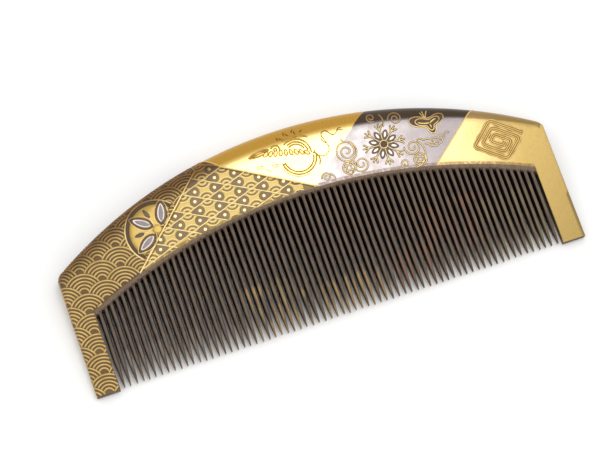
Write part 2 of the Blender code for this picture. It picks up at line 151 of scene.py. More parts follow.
def drape(x, y, lift=0.0, back=False):
    """Plan places to places in the row frame, raised off the surface by lift."""
    x = np.atleast_1d(np.asarray(x, float))
    y = np.atleast_1d(np.asarray(y, float))
    lift = np.broadcast_to(np.asarray(lift, float), x.shape)
    past, depth, height, nx, ny = rounding(x, y)
    turns, lengths = quarter_lengths(depth, height)
    want = np.clip(past, 0.0, lengths[:, -1])
    k = np.clip((lengths < want[:, None]).sum(1), 1, len(turns) - 1)
    rows = np.arange(len(x))
    l0, l1 = lengths[rows, k - 1], lengths[rows, k]
    turn = turns[k - 1] + (turns[k] - turns[k - 1]) * (want - l0) / (l1 - l0)
    flat = past <= 0
    turn = np.where(flat, 0.0, turn)
    out = depth * np.sin(turn)
    px = np.where(flat, x, x - nx * past + nx * out)
    py = np.where(flat, y, y - ny * past + ny * out)
    pz = np.where(flat, half_thickness(y), height * np.cos(turn))
    side, up = height * np.sin(turn), depth * np.cos(turn)
    size = np.hypot(side, up)
    lean = np.clip(1.0 - past / 0.6, 0.0, 1.0) * math.sin(HALF_WEDGE)
    vx, vy, vz = nx * side / size, ny * side / size - lean, up / size
    px, py, pz = px + vx * lift, py + vy * lift, pz + vz * lift
    if back:
        pz = -pz
    return to_row(px, py, pz)


def to_row(x, y, z):
    """Places about the comb's middle plane to the row frame."""
    c, s = math.cos(HALF_WEDGE), math.sin(HALF_WEDGE)
    return np.stack([x, y * c - z * s - MIDDLE_Y, y * s + z * c + LIFT_Z], -1)


def plan(points):
    """Places seen from above on the lying comb, as places on its middle plane."""
    stretch = math.cos(HALF_WEDGE) / math.cos(2 * HALF_WEDGE)
    return [(x, y * stretch) for x, y in points]


# ---------- seams between the coats

FOOT = {"wave": (-39.7, 23.3), "lattice": (4.3, 29.2), "silver": (3.6, 29.6), "plain": (31.2, 25.8)}
HEAD = {"wave": (-21.0, 41.3), "lattice": (-15.2, 40.3), "silver": (15.0, 39.1), "plain": (40.0, 33.0)}
# Extra lean of a seam over the rounded spine, for the seams that turn there
TURNS_AT_SPINE = {"wave": 0.0, "lattice": -0.75}
LOWEST_SEAM_Y = 20.0


def seam_x(name, y):
    """Where a seam is at a height; some turn to run square over the spine."""
    (fx, fy), (hx, hy) = plan([FOOT[name], HEAD[name]])
    y = np.asarray(y, float)
    x = fx + (hx - fx) * (y - fy) / (hy - fy)
    if name in TURNS_AT_SPINE:
        over = hx + (y - hy) * (hx / (hy - ARC_Y) + TURNS_AT_SPINE[name])
        x = np.where(y > hy, over, x)
    return x


PANELS = ("wave", "lattice", "phoenix", "silver", "plain")


def panel_at(x, y):
    """Number of the coat at each plan place."""
    x = np.asarray(x, float)
    y = np.maximum(np.asarray(y, float), LOWEST_SEAM_Y)
    lattice_edge = seam_x("lattice", y)
    silver_edge = np.maximum(seam_x("silver", y), lattice_edge)
    number = np.zeros(x.shape, int)
    number += x > seam_x("wave", y)
    number += x > np.where(silver_edge > lattice_edge, lattice_edge, silver_edge)
    number += x > silver_edge
    number += x > seam_x("plain", y)
    return number


def on_coat(x, y, margin=0.0):
    """True where a plan place lies on the coats, up to the outermost line of the edge."""
    x = np.asarray(x, float)
    y = np.asarray(y, float)
    past, depth, height, _, _ = rounding(x, y)
    reach = quarter_lengths(depth, height)[1][:, -1]
    above = y > arc_y(np.clip(x, -60, 60), COAT_ARC) + margin
    return ((np.abs(x) > FIELD + margin) | above) & (past < reach - 0.02) & (y > 0.12)


# ---------- meshes


def make_object(name, verts, faces, material, smooth=True):
    mesh = bpy.data.meshes.new(name)
    mesh.from_pydata((np.asarray(verts) * MM).tolist(), [], faces)
    mesh.update()
    mesh.polygons.foreach_set("use_smooth", [smooth] * len(mesh.polygons))
    item = bpy.data.objects.new(name, mesh)
    bpy.context.scene.collection.objects.link(item)
    item.data.materials.append(material)
    return item


def ride(item, slot, *nodes):
    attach(item, "root")
    if nodes:
        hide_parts(*nodes)
    return item


def resample(path, step):
    """A path with even steps no longer than step."""
    path = np.asarray(path, float)
    run = np.concatenate([[0.0], np.cumsum(np.hypot(*np.diff(path, axis=0).T))])
    count = max(int(run[-1] / step), 2)
    at = np.linspace(0.0, run[-1], count + 1)
    return np.stack([np.interp(at, run, path[:, 0]), np.interp(at, run, path[:, 1])], -1)


def clipped(path, keep, step=0.12):
    """The stretches of a path where keep(x, y) is true."""
    fine = resample(path, step)
    good = keep(fine[:, 0], fine[:, 1])
    runs, start = [], None
    for i, ok in enumerate(list(good) + [False]):
        if ok and start is None:
            start = i
        if not ok and start is not None:
            if i - start > 3:
                runs.append(fine[start:i])
            start = None
    return runs


def stitched(first, rows, ring, flip=False):
    """Faces of a tube of equal rings that start at one vertex, with both of its ends closed."""
    faces = []
    for i in range(rows - 1):
        for j in range(ring):
            a, b = first + i * ring + j, first + i * ring + (j + 1) % ring
            faces.append((a, b, b + ring, a + ring))
    faces.append(tuple(range(first, first + ring))[::-1])
    faces.append(tuple(range(first + (rows - 1) * ring, first + rows * ring)))
    return [face[::-1] for face in faces] if flip else faces


# The back rests on the table, so its relief is rubbed nearly flat
BACK_RELIEF = 0.25

# Half of a raised line's section: distance from its middle and height, as shares of width and height
SECTION = ((0.5, -0.5), (0.47, 0.3), (0.36, 0.75), (0.18, 0.97), (0.0, 1.0))


def raised_lines(name, paths, width, height, material, step=0.22, taper=0.5, base=0.0, backs=(False,)):
    """Raised, rounded lines drawn along plan paths, all in one object."""
    section = list(SECTION) + [(-a, b) for a, b in SECTION[-2::-1]]
    verts, faces = [], []
    for back in backs:
        for path in paths:
            points = resample(path, step)
            along = np.gradient(points, axis=0)
            along /= np.maximum(np.hypot(along[:, 0], along[:, 1]), 1e-9)[:, None]
            away = np.stack([-along[:, 1], along[:, 0]], -1)
            n = len(points)
            run = np.minimum(np.arange(n), np.arange(n)[::-1]) * step
            swell = taper + (1 - taper) * np.clip(run / (width * 1.2), 0, 1) ** 0.5
            wobble = 1.0 + 0.07 * np.sin(np.arange(n) * step * 2.1 + rng.uniform(0, 6.3))
            swell = swell * wobble
            rows = []
            for across, up in section:
                place = points + away * (across * width * swell)[:, None]
                lift = base + np.where(up < 0, -0.08, up * height * np.minimum(swell, 1.1))
                lift = lift * BACK_RELIEF if back else lift
                rows.append(drape(place[:, 0], place[:, 1], lift, back))
            faces += stitched(len(verts), n, len(section), not back)
            verts.extend(np.stack(rows, 1).reshape(-1, 3))
    return make_object(name, verts, faces, material)


# A raised pad's section: share of the way out to its edge, and of its height
PAD_SECTION = ((1.0, -0.5), (1.0, 0.3), (0.95, 0.7), (0.84, 0.93), (0.6, 1.0), (0.3, 1.0))


def pads(name, outlines, height, material, base=0.0, backs=(False,), step=0.2):
    """Raised islands with soft edges, each from a closed outline that is star-shaped about its middle."""
    verts, faces = [], []
    for back in backs:
        for outline in outlines:
            closed = resample(list(outline) + [outline[0]], step)[:-1]
            middle = closed.mean(0)
            faces += stitched(len(verts), len(PAD_SECTION), len(closed), back)
            for share, up in PAD_SECTION:
                place = middle + (closed - middle) * share
                lift = base + (up * height if up > 0 else -0.08)
                verts.extend(drape(place[:, 0], place[:, 1], lift * BACK_RELIEF if back else lift, back))
    return make_object(name, verts, faces, material)


# ---------- materials


class Nodes:
    """A material's node tree, with short calls for the nodes used here."""

    def __init__(self, name):
        self.material = bpy.data.materials.new(name)
        self.material.use_nodes = True
        self.tree = self.material.node_tree
        self.shader = self.tree.nodes["Principled BSDF"]
        self.place = self.tree.nodes.new("ShaderNodeTexCoord").outputs["Object"]

    def node(self, kind, **settings):
        item = self.tree.nodes.new(kind)
        for key, value in settings.items():
            setattr(item, key, value)
        return item

    def link(self, a, b):
        self.tree.links.new(a, b)

    def feed(self, socket, value):
        if isinstance(value, bpy.types.NodeSocket):
            self.link(value, socket)
        elif value is not None:
            socket.default_value = value

    def stretched(self, scale, turn=0.0):
        item = self.node("ShaderNodeMapping")
        item.inputs["Scale"].default_value = scale
        item.inputs["Rotation"].default_value = (0.0, 0.0, turn)
        self.link(self.place, item.inputs["Vector"])
        return item.outputs["Vector"]

    def noise(self, size, detail=3.0, rough=0.55, vector=None):
        """Noise whose blotches are about size millimetres across."""
        item = self.node("ShaderNodeTexNoise")
        item.inputs["Scale"].default_value = 1.0 / (size * MM)
        item.inputs["Detail"].default_value = detail
        item.inputs["Roughness"].default_value = rough
        self.link(vector or self.place, item.inputs["Vector"])
        return item.outputs["Fac"]

    def ramp(self, value, low, high, to_low=0.0, to_high=1.0):
        item = self.node("ShaderNodeMapRange", interpolation_type="SMOOTHSTEP")
        self.feed(item.inputs["Value"], value)
        for key, number in (("From Min", low), ("From Max", high), ("To Min", to_low), ("To Max", to_high)):
            item.inputs[key].default_value = number
        return item.outputs["Result"]

    def math(self, operation, a, b=None, c=None):
        item = self.node("ShaderNodeMath", operation=operation)
        for socket, value in zip(item.inputs, (a, b, c)):
            self.feed(socket, value)
        return item.outputs["Value"]

    def mix(self, share, a, b):
        item = self.node("ShaderNodeMix", data_type="RGBA")
        self.feed(item.inputs["Factor"], share)
        self.feed(item.inputs[6], a)
        self.feed(item.inputs[7], b)
        return item.outputs[2]

    def axes(self):
        item = self.node("ShaderNodeSeparateXYZ")
        self.link(self.place, item.inputs["Vector"])
        return item.outputs

    def bump(self, height, distance, strength=1.0):
        item = self.node("ShaderNodeBump")
        item.inputs["Distance"].default_value = distance * MM
        item.inputs["Strength"].default_value = strength
        self.link(height, item.inputs["Height"])
        return item.outputs["Normal"]

    def spine_share(self, start=0.0, soft=0.9):
        """0 on the flat faces, 1 where the surface has turned over the rounded spine."""
        x, y, _ = self.axes()
        x2 = self.math("MULTIPLY", x, x)
        from_centre = self.math("ADD", y, (MIDDLE_Y - ARC_Y) * MM)
        rho = self.math("SQRT", self.math("ADD", x2, self.math("MULTIPLY", from_centre, from_centre)))
        curving = RIDGE_LOSS / RIDGE_LOSS_X**2 / MM
        flat_edge = self.math("MULTIPLY_ADD", x2, curving, (ARC_RADIUS - RIDGE_MIDDLE + start) * MM)
        past = self.math("SUBTRACT", rho, flat_edge)
        return self.ramp(past, 0.0, soft * MM)

    def darkened_edges(self):
        """1 where the coats are darkened, in patches: along the teeth and at the comb's two ends."""
        x, y, _ = self.axes()
        width = self.math("ABSOLUTE", x)
        ends = self.ramp(width, (HALF_WIDTH - 0.5) * MM, (HALF_WIDTH - 0.15) * MM)
        radius, top = COAT_ARC
        x2 = self.math("MULTIPLY", x, x)
        from_centre = self.math("ADD", y, (MIDDLE_Y + radius - top) * MM)
        rho = self.math("SQRT", self.math("ADD", x2, self.math("MULTIPLY", from_centre, from_centre)))
        over_teeth = self.ramp(width, (FIELD + 0.3) * MM, (FIELD - 0.2) * MM)
        by_teeth = self.ramp(rho, (radius + 0.62) * MM, (radius + 0.3) * MM)
        teeth_side = self.math("MULTIPLY", by_teeth, over_teeth)
        patchy = self.ramp(self.noise(0.8, 4.0, 0.65), 0.32, 0.55, 0.3, 0.7)
        return self.math("MULTIPLY", self.math("MAXIMUM", ends, teeth_side), patchy)

    def finish(self, colour, roughness, metallic=0.0, normal=None, **fixed):
        self.feed(self.shader.inputs["Base Color"], colour)
        self.feed(self.shader.inputs["Roughness"], roughness)
        self.feed(self.shader.inputs["Metallic"], metallic)
        if normal is not None:
            self.link(normal, self.shader.inputs["Normal"])
        for key, value in fixed.items():
            self.shader.inputs[key.replace("_", " ")].default_value = value
        return self.material


def srgb(r, g, b):
    """A colour given in 0 to 255, as linear RGBA."""
    def one(c):
        c = c / 255
        return c / 12.92 if c <= 0.04045 else ((c + 0.055) / 1.055) ** 2.4
    return (one(r), one(g), one(b), 1.0)


# Size of the sprinkled metal powder's clusters
POWDER_GRAIN = 0.10
COAT_GRAIN = 0.11


def gold(name, light, deep, worn, roughness=0.36, metallic=0.85, blotch=2.5, wear=0.5, spine=None):
    """Sprinkled metal powder in lacquer: fine glittering grain, cloudy tone and rubbed patches, with painted
    shade over the spine when a spine colour is given.
    """
    m = Nodes(name)
    cloud = m.ramp(m.noise(blotch, 4.0), 0.35, 0.68)
    powder = m.noise(POWDER_GRAIN, 2.0, 0.7)
    tone = m.mix(m.ramp(powder, 0.35, 0.65), deep, light)
    tone = m.mix(m.math("MULTIPLY", cloud, 0.55), tone, deep)
    rubbed = m.ramp(m.noise(0.9, 5.0, 0.65), 0.62, 0.74, 0.0, wear)
    tone = m.mix(rubbed, tone, worn)
    # Painted shade: the tone goes towards the spine colour where the surface turns over the spine, standing
    # in for its darker reflection.
    if spine is not None:
        tone = m.mix(m.math("MULTIPLY", m.spine_share(-2.5, 4.5), 0.9), tone, spine)
    rough = m.ramp(powder, 0.3, 0.7, roughness - 0.06, roughness + 0.1)
    height = m.math("MULTIPLY_ADD", powder, 0.35, m.noise(0.8, 3.0))
    return m.finish(tone, rough, metallic, m.bump(height, 0.02, 0.5))


def coat_ground(
    name, light, deep, spine, spine_shade_share, start, roughness, metallic, soft, cloud=0.4, painted_falloff=None
):
    """Panel coat: powder gold or silver, toned darker where the spine turns away: painted shade for the
    darker reflection there, which on the silver coat is also its own dark finish.

    start and soft say where that tone begins past the flat and over what width it comes in; the last
    argument is a tint, the two x places between which it comes in, and its share: painted shade,
    darker towards the right where less of the softbox is reflected.
    """
    m = Nodes(name)
    clouds = m.ramp(m.noise(3.2, 4.0), 0.3, 0.7)
    powder = m.noise(COAT_GRAIN, 2.0, 0.7)
    tone = m.mix(m.ramp(powder, 0.34, 0.66), deep, light)
    tone = m.mix(m.math("MULTIPLY", clouds, cloud), tone, deep)
    # Painted shade: darker towards the right, where less of the softbox is reflected.
    if painted_falloff is not None:
        tint, near, far, share = painted_falloff
        tone = m.mix(m.ramp(m.axes()[0], near * MM, far * MM, 0.0, share), tone, tint)
    # Painted shade over the spine, standing in for its darker reflection; on the silver coat also the spine's
    # own dark finish.
    turned = m.math("MULTIPLY", m.spine_share(start, soft), spine_shade_share)
    tone = m.mix(turned, tone, spine)
    specks = m.ramp(m.noise(0.35, 2.0), 0.71, 0.76, 0.0, 0.5)
    tone = m.mix(specks, tone, deep)
    # Darker in patches along the teeth and at the comb's two ends.
    tone = m.mix(m.darkened_edges(), tone, srgb(78, 54, 30))
    rough = m.ramp(powder, 0.3, 0.7, roughness - 0.05, roughness + 0.1)
    height = m.math("MULTIPLY_ADD", powder, 0.3, m.noise(1.4, 3.0))
    return m.finish(tone, rough, metallic, m.bump(height, 0.02, 0.35))


# A spine colour given here is painted shade over the spine.
GOLD_LINE = gold(
    "gold_line", srgb(216, 188, 128), srgb(176, 144, 84), srgb(116, 86, 46), wear=0.5, spine=srgb(118, 82, 38)
)
BRIGHT_LINE = gold(
    "bright_gold_line", srgb(236, 210, 144), srgb(204, 170, 98), srgb(150, 114, 60), wear=0.3
)
LATTICE_LINE = gold(
    "lattice_line", srgb(246, 226, 172), srgb(222, 194, 130),
    srgb(168, 134, 76), wear=0.35, spine=srgb(142, 100, 48)
)
DEEP_LINE = gold("deep_gold_line", srgb(138, 106, 54), srgb(98, 72, 38), srgb(74, 52, 28), wear=0.4)
# Dark outline colour, also the painted shadow round the butterfly's feelers.
OUTLINE_AND_SHADOW = gold("dark_outline_and_shadow", srgb(92, 70, 42), srgb(64, 48, 30), srgb(46, 34, 24), 0.5, 0.25)
PAD = gold(
    "lattice_pad", srgb(140, 120, 88), srgb(110, 90, 64),
    srgb(160, 138, 92), 0.45, 0.4, spine=srgb(58, 38, 20)
)
# Each coat's third colour is its painted shade over the spine.
WAVE_COAT = coat_ground(
    "wave_coat", srgb(120, 94, 50), srgb(88, 66, 34), srgb(58, 38, 18), 0.9, -2.5, 0.5, 0.3, 4.0
)
LATTICE_COAT = coat_ground(
    "lattice_coat", srgb(192, 170, 104), srgb(164, 138, 74), srgb(96, 64, 30), 0.85, -1.5, 0.38, 0.7, 3.0
)
BIRD_COAT = coat_ground(
    "bird_coat", srgb(242, 216, 146), srgb(226, 192, 112),
    srgb(186, 140, 52), 0.95, -0.4, 0.27, 0.9, 1.6, cloud=0.25
)
PLAIN_COAT = coat_ground(
    "plain_coat", srgb(198, 172, 126), srgb(174, 146, 96),
    srgb(156, 126, 76), 0.85, -0.3, 0.28, 0.85, 1.4, cloud=0.6,
    # Painted shade: darker towards the right, where less of the softbox is reflected.
    painted_falloff=(srgb(138, 116, 62), 37.0, 51.0, 0.85),
)
SILVER_COAT = coat_ground(
    "silver_coat", srgb(180, 175, 174), srgb(122, 114, 112),
    srgb(66, 50, 34), 0.97, -0.2, 0.27, 0.7, 0.8, cloud=0.8,
    # Painted shade: darker towards the right, where less of the softbox is reflected.
    painted_falloff=(srgb(104, 96, 96), 16.0, 35.0, 0.8),
)


def wood(name):
    """Dark oiled wood: grain along the teeth, with paler and redder streaks low down."""
    m = Nodes(name)
    along = m.stretched((1.0, 0.07, 1.0))
    grain = m.noise(0.35, 4.0, 0.6, along)
    broad = m.noise(1.6, 3.0, 0.5, m.stretched((1.0, 0.12, 1.0)))
    tone = m.mix(m.ramp(grain, 0.3, 0.7), srgb(60, 45, 33), srgb(99, 79, 59))
    x, y, _ = m.axes()

    def patch(centre, half_width, low, high):
        """1 inside a patch of teeth: centre and half width across, and its lower and upper ends."""
        away = m.math("ABSOLUTE", m.math("SUBTRACT", x, centre * MM))
        across = m.ramp(away, half_width * MM, half_width * 0.7 * MM)
        from_below = m.ramp(y, (low - 2.0 - MIDDLE_Y) * MM, (low - MIDDLE_Y) * MM)
        from_above = m.ramp(y, (high + 1.5 - MIDDLE_Y) * MM, (high - MIDDLE_Y) * MM)
        return m.math("MULTIPLY", across, m.math("MULTIPLY", from_below, from_above))

    streak = m.ramp(broad, 0.44, 0.58)
    for tint, strength, places in (
        (srgb(150, 120, 70), 0.75, ((-14.5, 6.5, 1.0, 11.5), (2.0, 12.0, 0.0, 7.5))),
        (srgb(122, 80, 56), 0.5, ((30.0, 9.0, 7.0, 16.5), (18.0, 6.0, 3.0, 9.0))),
        (srgb(112, 100, 66), 0.5, ((43.0, 9.0, 1.0, 14.0),)),
        (srgb(126, 112, 98), 0.45, ((-40.0, 13.0, -2.0, 7.0),)),
    ):
        for place in places:
            share = m.math("MULTIPLY", m.math("MULTIPLY", patch(*place), streak), strength)
            tone = m.mix(share, tone, tint)
    fine = m.noise(0.12, 3.0, 0.6, m.stretched((1.0, 0.1, 1.0)))
    rough = m.ramp(grain, 0.2, 0.8, 0.42, 0.62)
    return m.finish(tone, rough, 0.0, m.bump(fine, 0.03, 0.5), Coat_Weight=0.15, Coat_Roughness=0.35)


def saw_cut(name):
    """The sawn sides of the teeth: darker than the worn fronts and painted nearly black for the shade in the
    narrow gaps, with painted light bounced off the table towards the tips.
    """
    m = Nodes(name)
    grain = m.noise(0.3, 4.0, 0.6, m.stretched((1.0, 0.08, 1.0)))
    # Painted shade: nearly black for the shade deep in the narrow gaps between teeth.
    tone = m.mix(m.ramp(grain, 0.3, 0.7), srgb(18, 12, 8), srgb(44, 31, 22))
    y = m.axes()[1]
    # Painted light: paler towards the tips, for light bounced off the white table.
    painted_bounce_light = m.ramp(y, (9.0 - MIDDLE_Y) * MM, (0.5 - MIDDLE_Y) * MM, 0.0, 0.8)
    tone = m.mix(painted_bounce_light, tone, srgb(112, 90, 66))
    rough = m.ramp(grain, 0.2, 0.8, 0.75, 0.95)
    return m.finish(tone, rough, 0.0, m.bump(grain, 0.03, 0.5), Specular_IOR_Level=0.12)


WOOD = wood("oiled_wood")
SAWN_WOOD_PAINTED_SHADE = saw_cut("sawn_wood_painted_shade")
ROOT_WOOD = gold(
    "root_wood", srgb(132, 110, 86), srgb(84, 66, 50), srgb(140, 116, 78), 0.5, 0.1, blotch=1.0, wear=0.5
)
END_WOOD = gold("guard_wood", srgb(92, 74, 54), srgb(58, 44, 34), srgb(120, 98, 60), 0.5, 0.1)


# ---------- coats


def half_sections():
    """Right half, from the guard's foot to the top: inner point, outline point, outward way."""
    corner_y = float(arc_y(FIELD, COAT_ARC))
    sections = []
    for y in np.linspace(0.05, SHOULDER_Y, 30):
        sections.append(((FIELD, min(y, corner_y)), (HALF_WIDTH, y), (1.0, 0.0), EDGE_ROUNDING))
    top_depth = float(ridge_depth(SHOULDER_X))
    for share in np.linspace(0, 1, 12)[1:]:
        turn = share * SHOULDER_TURN
        nx, ny = math.cos(turn), math.sin(turn)
        edge = (SHOULDER_X + SHOULDER_RADIUS * nx, SHOULDER_Y + SHOULDER_RADIUS * ny)
        depth = EDGE_ROUNDING + share * (top_depth - EDGE_ROUNDING)
        sections.append(((FIELD, corner_y), edge, (nx, ny), depth))
    widest = ARC_RADIUS * math.cos(SHOULDER_TURN)
    for turn in np.linspace(SHOULDER_TURN, math.pi / 2, 70)[1:]:
        nx, ny = math.cos(turn), math.sin(turn)
        x = ARC_RADIUS * nx
        inner_x = x * FIELD / widest
        inner = (inner_x, float(arc_y(inner_x, COAT_ARC)))
        sections.append((inner, (x, ARC_Y + ARC_RADIUS * ny), (nx, ny), float(ridge_depth(x))))
    return sections


def coat_sheet():
    """The whole coat as a flat sheet in plan, from one guard's foot over to the other's."""
    rows = []
    for (ix, iy), (ox, oy), (nx, ny), depth in half_sections():
        height = half_thickness(oy - ny * depth)
        reach = float(quarter_lengths(depth, height)[1][0, -1])
        ux, uy = ox + nx * (reach - depth), oy + ny * (reach - depth)
        t = np.linspace(0, 1, 240)
        px, py = ix + (ux - ix) * t, iy + (uy - iy) * t
        past = rounding(px, py)[0]
        bend = t[np.argmax(past > 0)]
        steps = np.concatenate([np.linspace(0, bend, 9)[:-1], np.linspace(bend, 1, 19)])
        rows.append([(ix + (ux - ix) * s, iy + (uy - iy) * s) for s in steps])
    left = [[(-x, y) for x, y in row] for row in rows[-2::-1]]
    return np.array(rows + left)


def cut_sheet():
    """The sheet's faces, cut along every seam, as (corner places, coat number)."""
    grid = coat_sheet()
    n, m = grid.shape[:2]
    bm = bmesh.new()
    made = [[bm.verts.new((x, y, 0)) for x, y in row] for row in grid]
    for i in range(n - 1):
        for j in range(m - 1):
            bm.faces.new((made[i][j], made[i][j + 1], made[i + 1][j + 1], made[i + 1][j]))
    bmesh.ops.remove_doubles(bm, verts=bm.verts, dist=1e-4)
    for name in HEAD:
        foot, head = (Vector((*p, 0)) for p in plan([FOOT[name], HEAD[name]]))
        cuts = [(foot, head - foot, LOWEST_SEAM_Y, head.y + 9.0)]
        if name in TURNS_AT_SPINE:
            cuts = [(foot, head - foot, LOWEST_SEAM_Y, head.y + 0.3)]
            over = Vector((head.x / (head.y - ARC_Y) + TURNS_AT_SPINE[name], 1, 0))
            cuts.append((head, over, head.y - 0.3, 60.0))
        for start, along, low, high in cuts:
            normal = Vector((along.y, -along.x, 0)).normalized()
            near = []
            for face in bm.faces:
                centre = face.calc_center_median()
                if low < centre.y < high and abs((centre - start).dot(normal)) < 3.0:
                    near.append(face)
            around = set(near)
            around.update(v for f in near for v in f.verts)
            around.update(e for f in near for e in f.edges)
            bmesh.ops.bisect_plane(bm, geom=list(around), plane_co=start, plane_no=normal, dist=1e-4)
    bm.verts.index_update()
    places = np.array([v.co[:2] for v in bm.verts])
    faces = [tuple(v.index for v in f.verts) for f in bm.faces]
    centres = np.array([f.calc_center_median()[:2] for f in bm.faces])
    bm.free()
    return places, faces, panel_at(centres[:, 0], centres[:, 1])


def build_coats():
    places, faces, numbers = cut_sheet()
    front = drape(places[:, 0], places[:, 1])
    rear = drape(places[:, 0], places[:, 1], back=True)
    looks = {
        "wave": (WAVE_COAT, "wave_panel_skin"),
        "lattice": (LATTICE_COAT, "lattice_panel_skin"),
        "phoenix": (BIRD_COAT, "phoenix_panel_skin"),
        "silver": (SILVER_COAT, "silver_panel_skin"),
        "plain": (PLAIN_COAT, "plain_gold_panel_skin"),
    }
    for number, panel in enumerate(PANELS):
        material, node = looks[panel]
        mine = [f for f, k in zip(faces, numbers) if k == number]
        used = sorted({v for f in mine for v in f})
        index = {v: i for i, v in enumerate(used)}
        count = len(used)
        verts = np.concatenate([front[used], rear[used]])
        quads = [tuple(index[v] for v in f) for f in mine]
        quads += [tuple(index[v] + count for v in reversed(f)) for f in mine]
        item = make_object(panel + "_coat", verts, quads, material)
        bm = bmesh.new()
        bm.from_mesh(item.data)
        bmesh.ops.remove_doubles(bm, verts=bm.verts, dist=0.004 * MM)
        bmesh.ops.recalc_face_normals(bm, faces=bm.faces)
        up = sum(f.normal.z * f.calc_area() for f in bm.faces if f.calc_center_median().z > 0.004)
        if up < 0:
            bmesh.ops.reverse_faces(bm, faces=bm.faces)
        bm.to_mesh(item.data)
        bm.free()
        shell = item.modifiers.new("thickness", "SOLIDIFY")
        shell.thickness = COAT * MM
        shell.offset = -1.0
        creases = item.modifiers.new("sharp_rims", "EDGE_SPLIT")
        creases.split_angle = math.radians(35)
        ride(item, node, node)


build_coats()


# ---------- wooden blank


def slab(name, sections, material):
    """A bar lofted through upright sections given as (x, low y, high y, half thickness)."""
    ring = [(-1, -0.72), (-0.9, -0.94), (-0.7, -1), (0.7, -1), (0.9, -0.94), (1, -0.72)]
    ring += [(1, 0.72), (0.9, 0.94), (0.7, 1), (-0.7, 1), (-0.9, 0.94), (-1, 0.72)]
    verts = []
    for x, low, high, thin in sections:
        for u, v in ring:
            y = (low + high) / 2 + (high - low) / 2 * u
            verts.append((x, y, v * (half_thickness(y) - thin)))
    faces = stitched(0, len(sections), len(ring))
    return make_object(name, to_row(*np.array(verts).T), faces, material)


def teeth():
    """Sawn teeth: rounded bars that narrow to a point, each a little different."""
    span = FIELD - GAP_WIDTH / 2
    pitch = 2 * span / TOOTH_COUNT
    width = pitch - GAP_WIDTH
    # Round one side: share of the half width, a fixed addition to it and the share of the height.
    # The bevelling saw leaves the middle of a tooth its widest part, even near the point.
    side = [(0.68, 0.0, 1.0), (0.88, 0.0, 0.96), (0.97, 0.01, 0.84), (1.0, 0.1, 0.5), (1.0, 0.17, 0.15)]
    side += [(share, more, -height) for share, more, height in side[::-1]]
    section = side + [(-share, -more, -height) for share, more, height in side]
    sawn = set(range(1, 8)) | set(range(11, 18))
    verts, faces, cut = [], [], []
    for number in range(TOOTH_COUNT):
        x0 = -span + pitch * (number + 0.5)
        root = float(arc_y(x0, GAP_ARC)) + 0.25
        tip = 0.32 + rng.uniform(0.0, 0.22)
        phase = [rng.uniform(0, 6.3) for _ in range(3)]
        sway = rng.uniform(-0.045, 0.045)
        fat = rng.uniform(0.95, 1.04)
        heights = [tip, tip + 0.25, tip + 0.8, 2.0, 3.2, 4.6, 6.2, 7.6, 9.0, 11.0]
        heights += list(np.linspace(13.0, root, 8))
        first = len(verts)
        for y in heights:
            share = min(max((y - tip) / (8.9 - tip), 0.0), 1.0)
            wide = 0.2 + (width - 0.2) * (share * (2 - share)) ** 0.85
            wide *= fat * (1 + 0.03 * math.sin(y * 0.9 + phase[0]))
            low = min(max((y - tip) / (5.2 - tip), 0.0), 1.0)
            thick = 0.26 + (half_thickness(y) - 0.03 - 0.26) * (low * (2 - low)) ** 0.8
            thick *= 1 - 0.012 * (1 + math.sin(y * 0.7 + phase[1]))
            x = x0 + sway * (root - y) / root * 2 + 0.02 * math.sin(y * 0.5 + phase[2])
            verts.extend((x + u * wide / 2 + more * low, y, v * thick) for u, more, v in section)
        k = len(section)
        for i in range(len(heights) - 1):
            for j in range(k):
                a, b = first + i * k + j, first + i * k + (j + 1) % k
                faces.append((a, a + k, b + k, b))
                cut.append(j in sawn)
        faces.append(tuple(range(first, first + k)))
        last = first + (len(heights) - 1) * k
        faces.append(tuple(range(last, last + k))[::-1])
        cut += [False, True]
    item = make_object("teeth", to_row(*np.array(verts).T), faces, WOOD)
    item.data.materials.append(SAWN_WOOD_PAINTED_SHADE)
    item.data.polygons.foreach_set("material_index", [int(c) for c in cut])
    return item


ride(teeth(), "comb_blank", "comb_blank")


def root_band():
    """The strip that the teeth grow from, with the round ends of the saw cuts in its lower edge."""
    pitch = 2 * (FIELD - GAP_WIDTH / 2) / TOOTH_COUNT
    sections = []
    for x in np.linspace(-FIELD, FIELD, 8 * (TOOTH_COUNT + 1) + 1):
        from_cut = abs((x + FIELD - GAP_WIDTH / 2 + pitch / 2) % pitch - pitch / 2) / (GAP_WIDTH / 2)
        low = float(arc_y(x, GAP_ARC)) - 0.38 * min(from_cut, 1.0) ** 2
        sections.append((x, low, float(arc_y(x, COAT_ARC)) + 2.0, 0.05))
    return slab("tooth_root_band", sections, ROOT_WOOD)


ride(root_band(), "comb_blank", "comb_blank")


def guard_core(name, side):
    """Wood inside a guard: it shows at the foot and on the side that faces the teeth."""
    ys = [0.03, 0.12] + list(np.linspace(1.0, 20.0, 12))
    verts = []
    section = [(0, -0.8), (0.05, -1), (0.95, -1), (1, -0.8), (1, 0.8), (0.95, 1), (0.05, 1), (0, 0.8)]
    for y in ys:
        drawn_in = 0.08 if y < 0.1 else 0.0
        for u, v in section:
            x = FIELD + 0.03 + drawn_in + (HALF_WIDTH - 0.35 - FIELD - 2 * drawn_in) * u
            verts.append((side * x, y, v * (half_thickness(y) - 0.2 - drawn_in)))
    faces = stitched(0, len(ys), len(section), side < 0)
    item = make_object(name, to_row(*np.array(verts).T), faces, END_WOOD)
    return ride(item, "comb_blank", "comb_blank")


guard_core("guard_core_right", 1)
guard_core("guard_core_left", -1)


# ---------- drawing helpers

BOTH = (False, True)
# How far the eye leans towards the teeth from square on to the front face
EYE_LEAN = math.tan(math.radians(10.9))
STRETCH = plan([(0.0, 1.0)])[0][1]


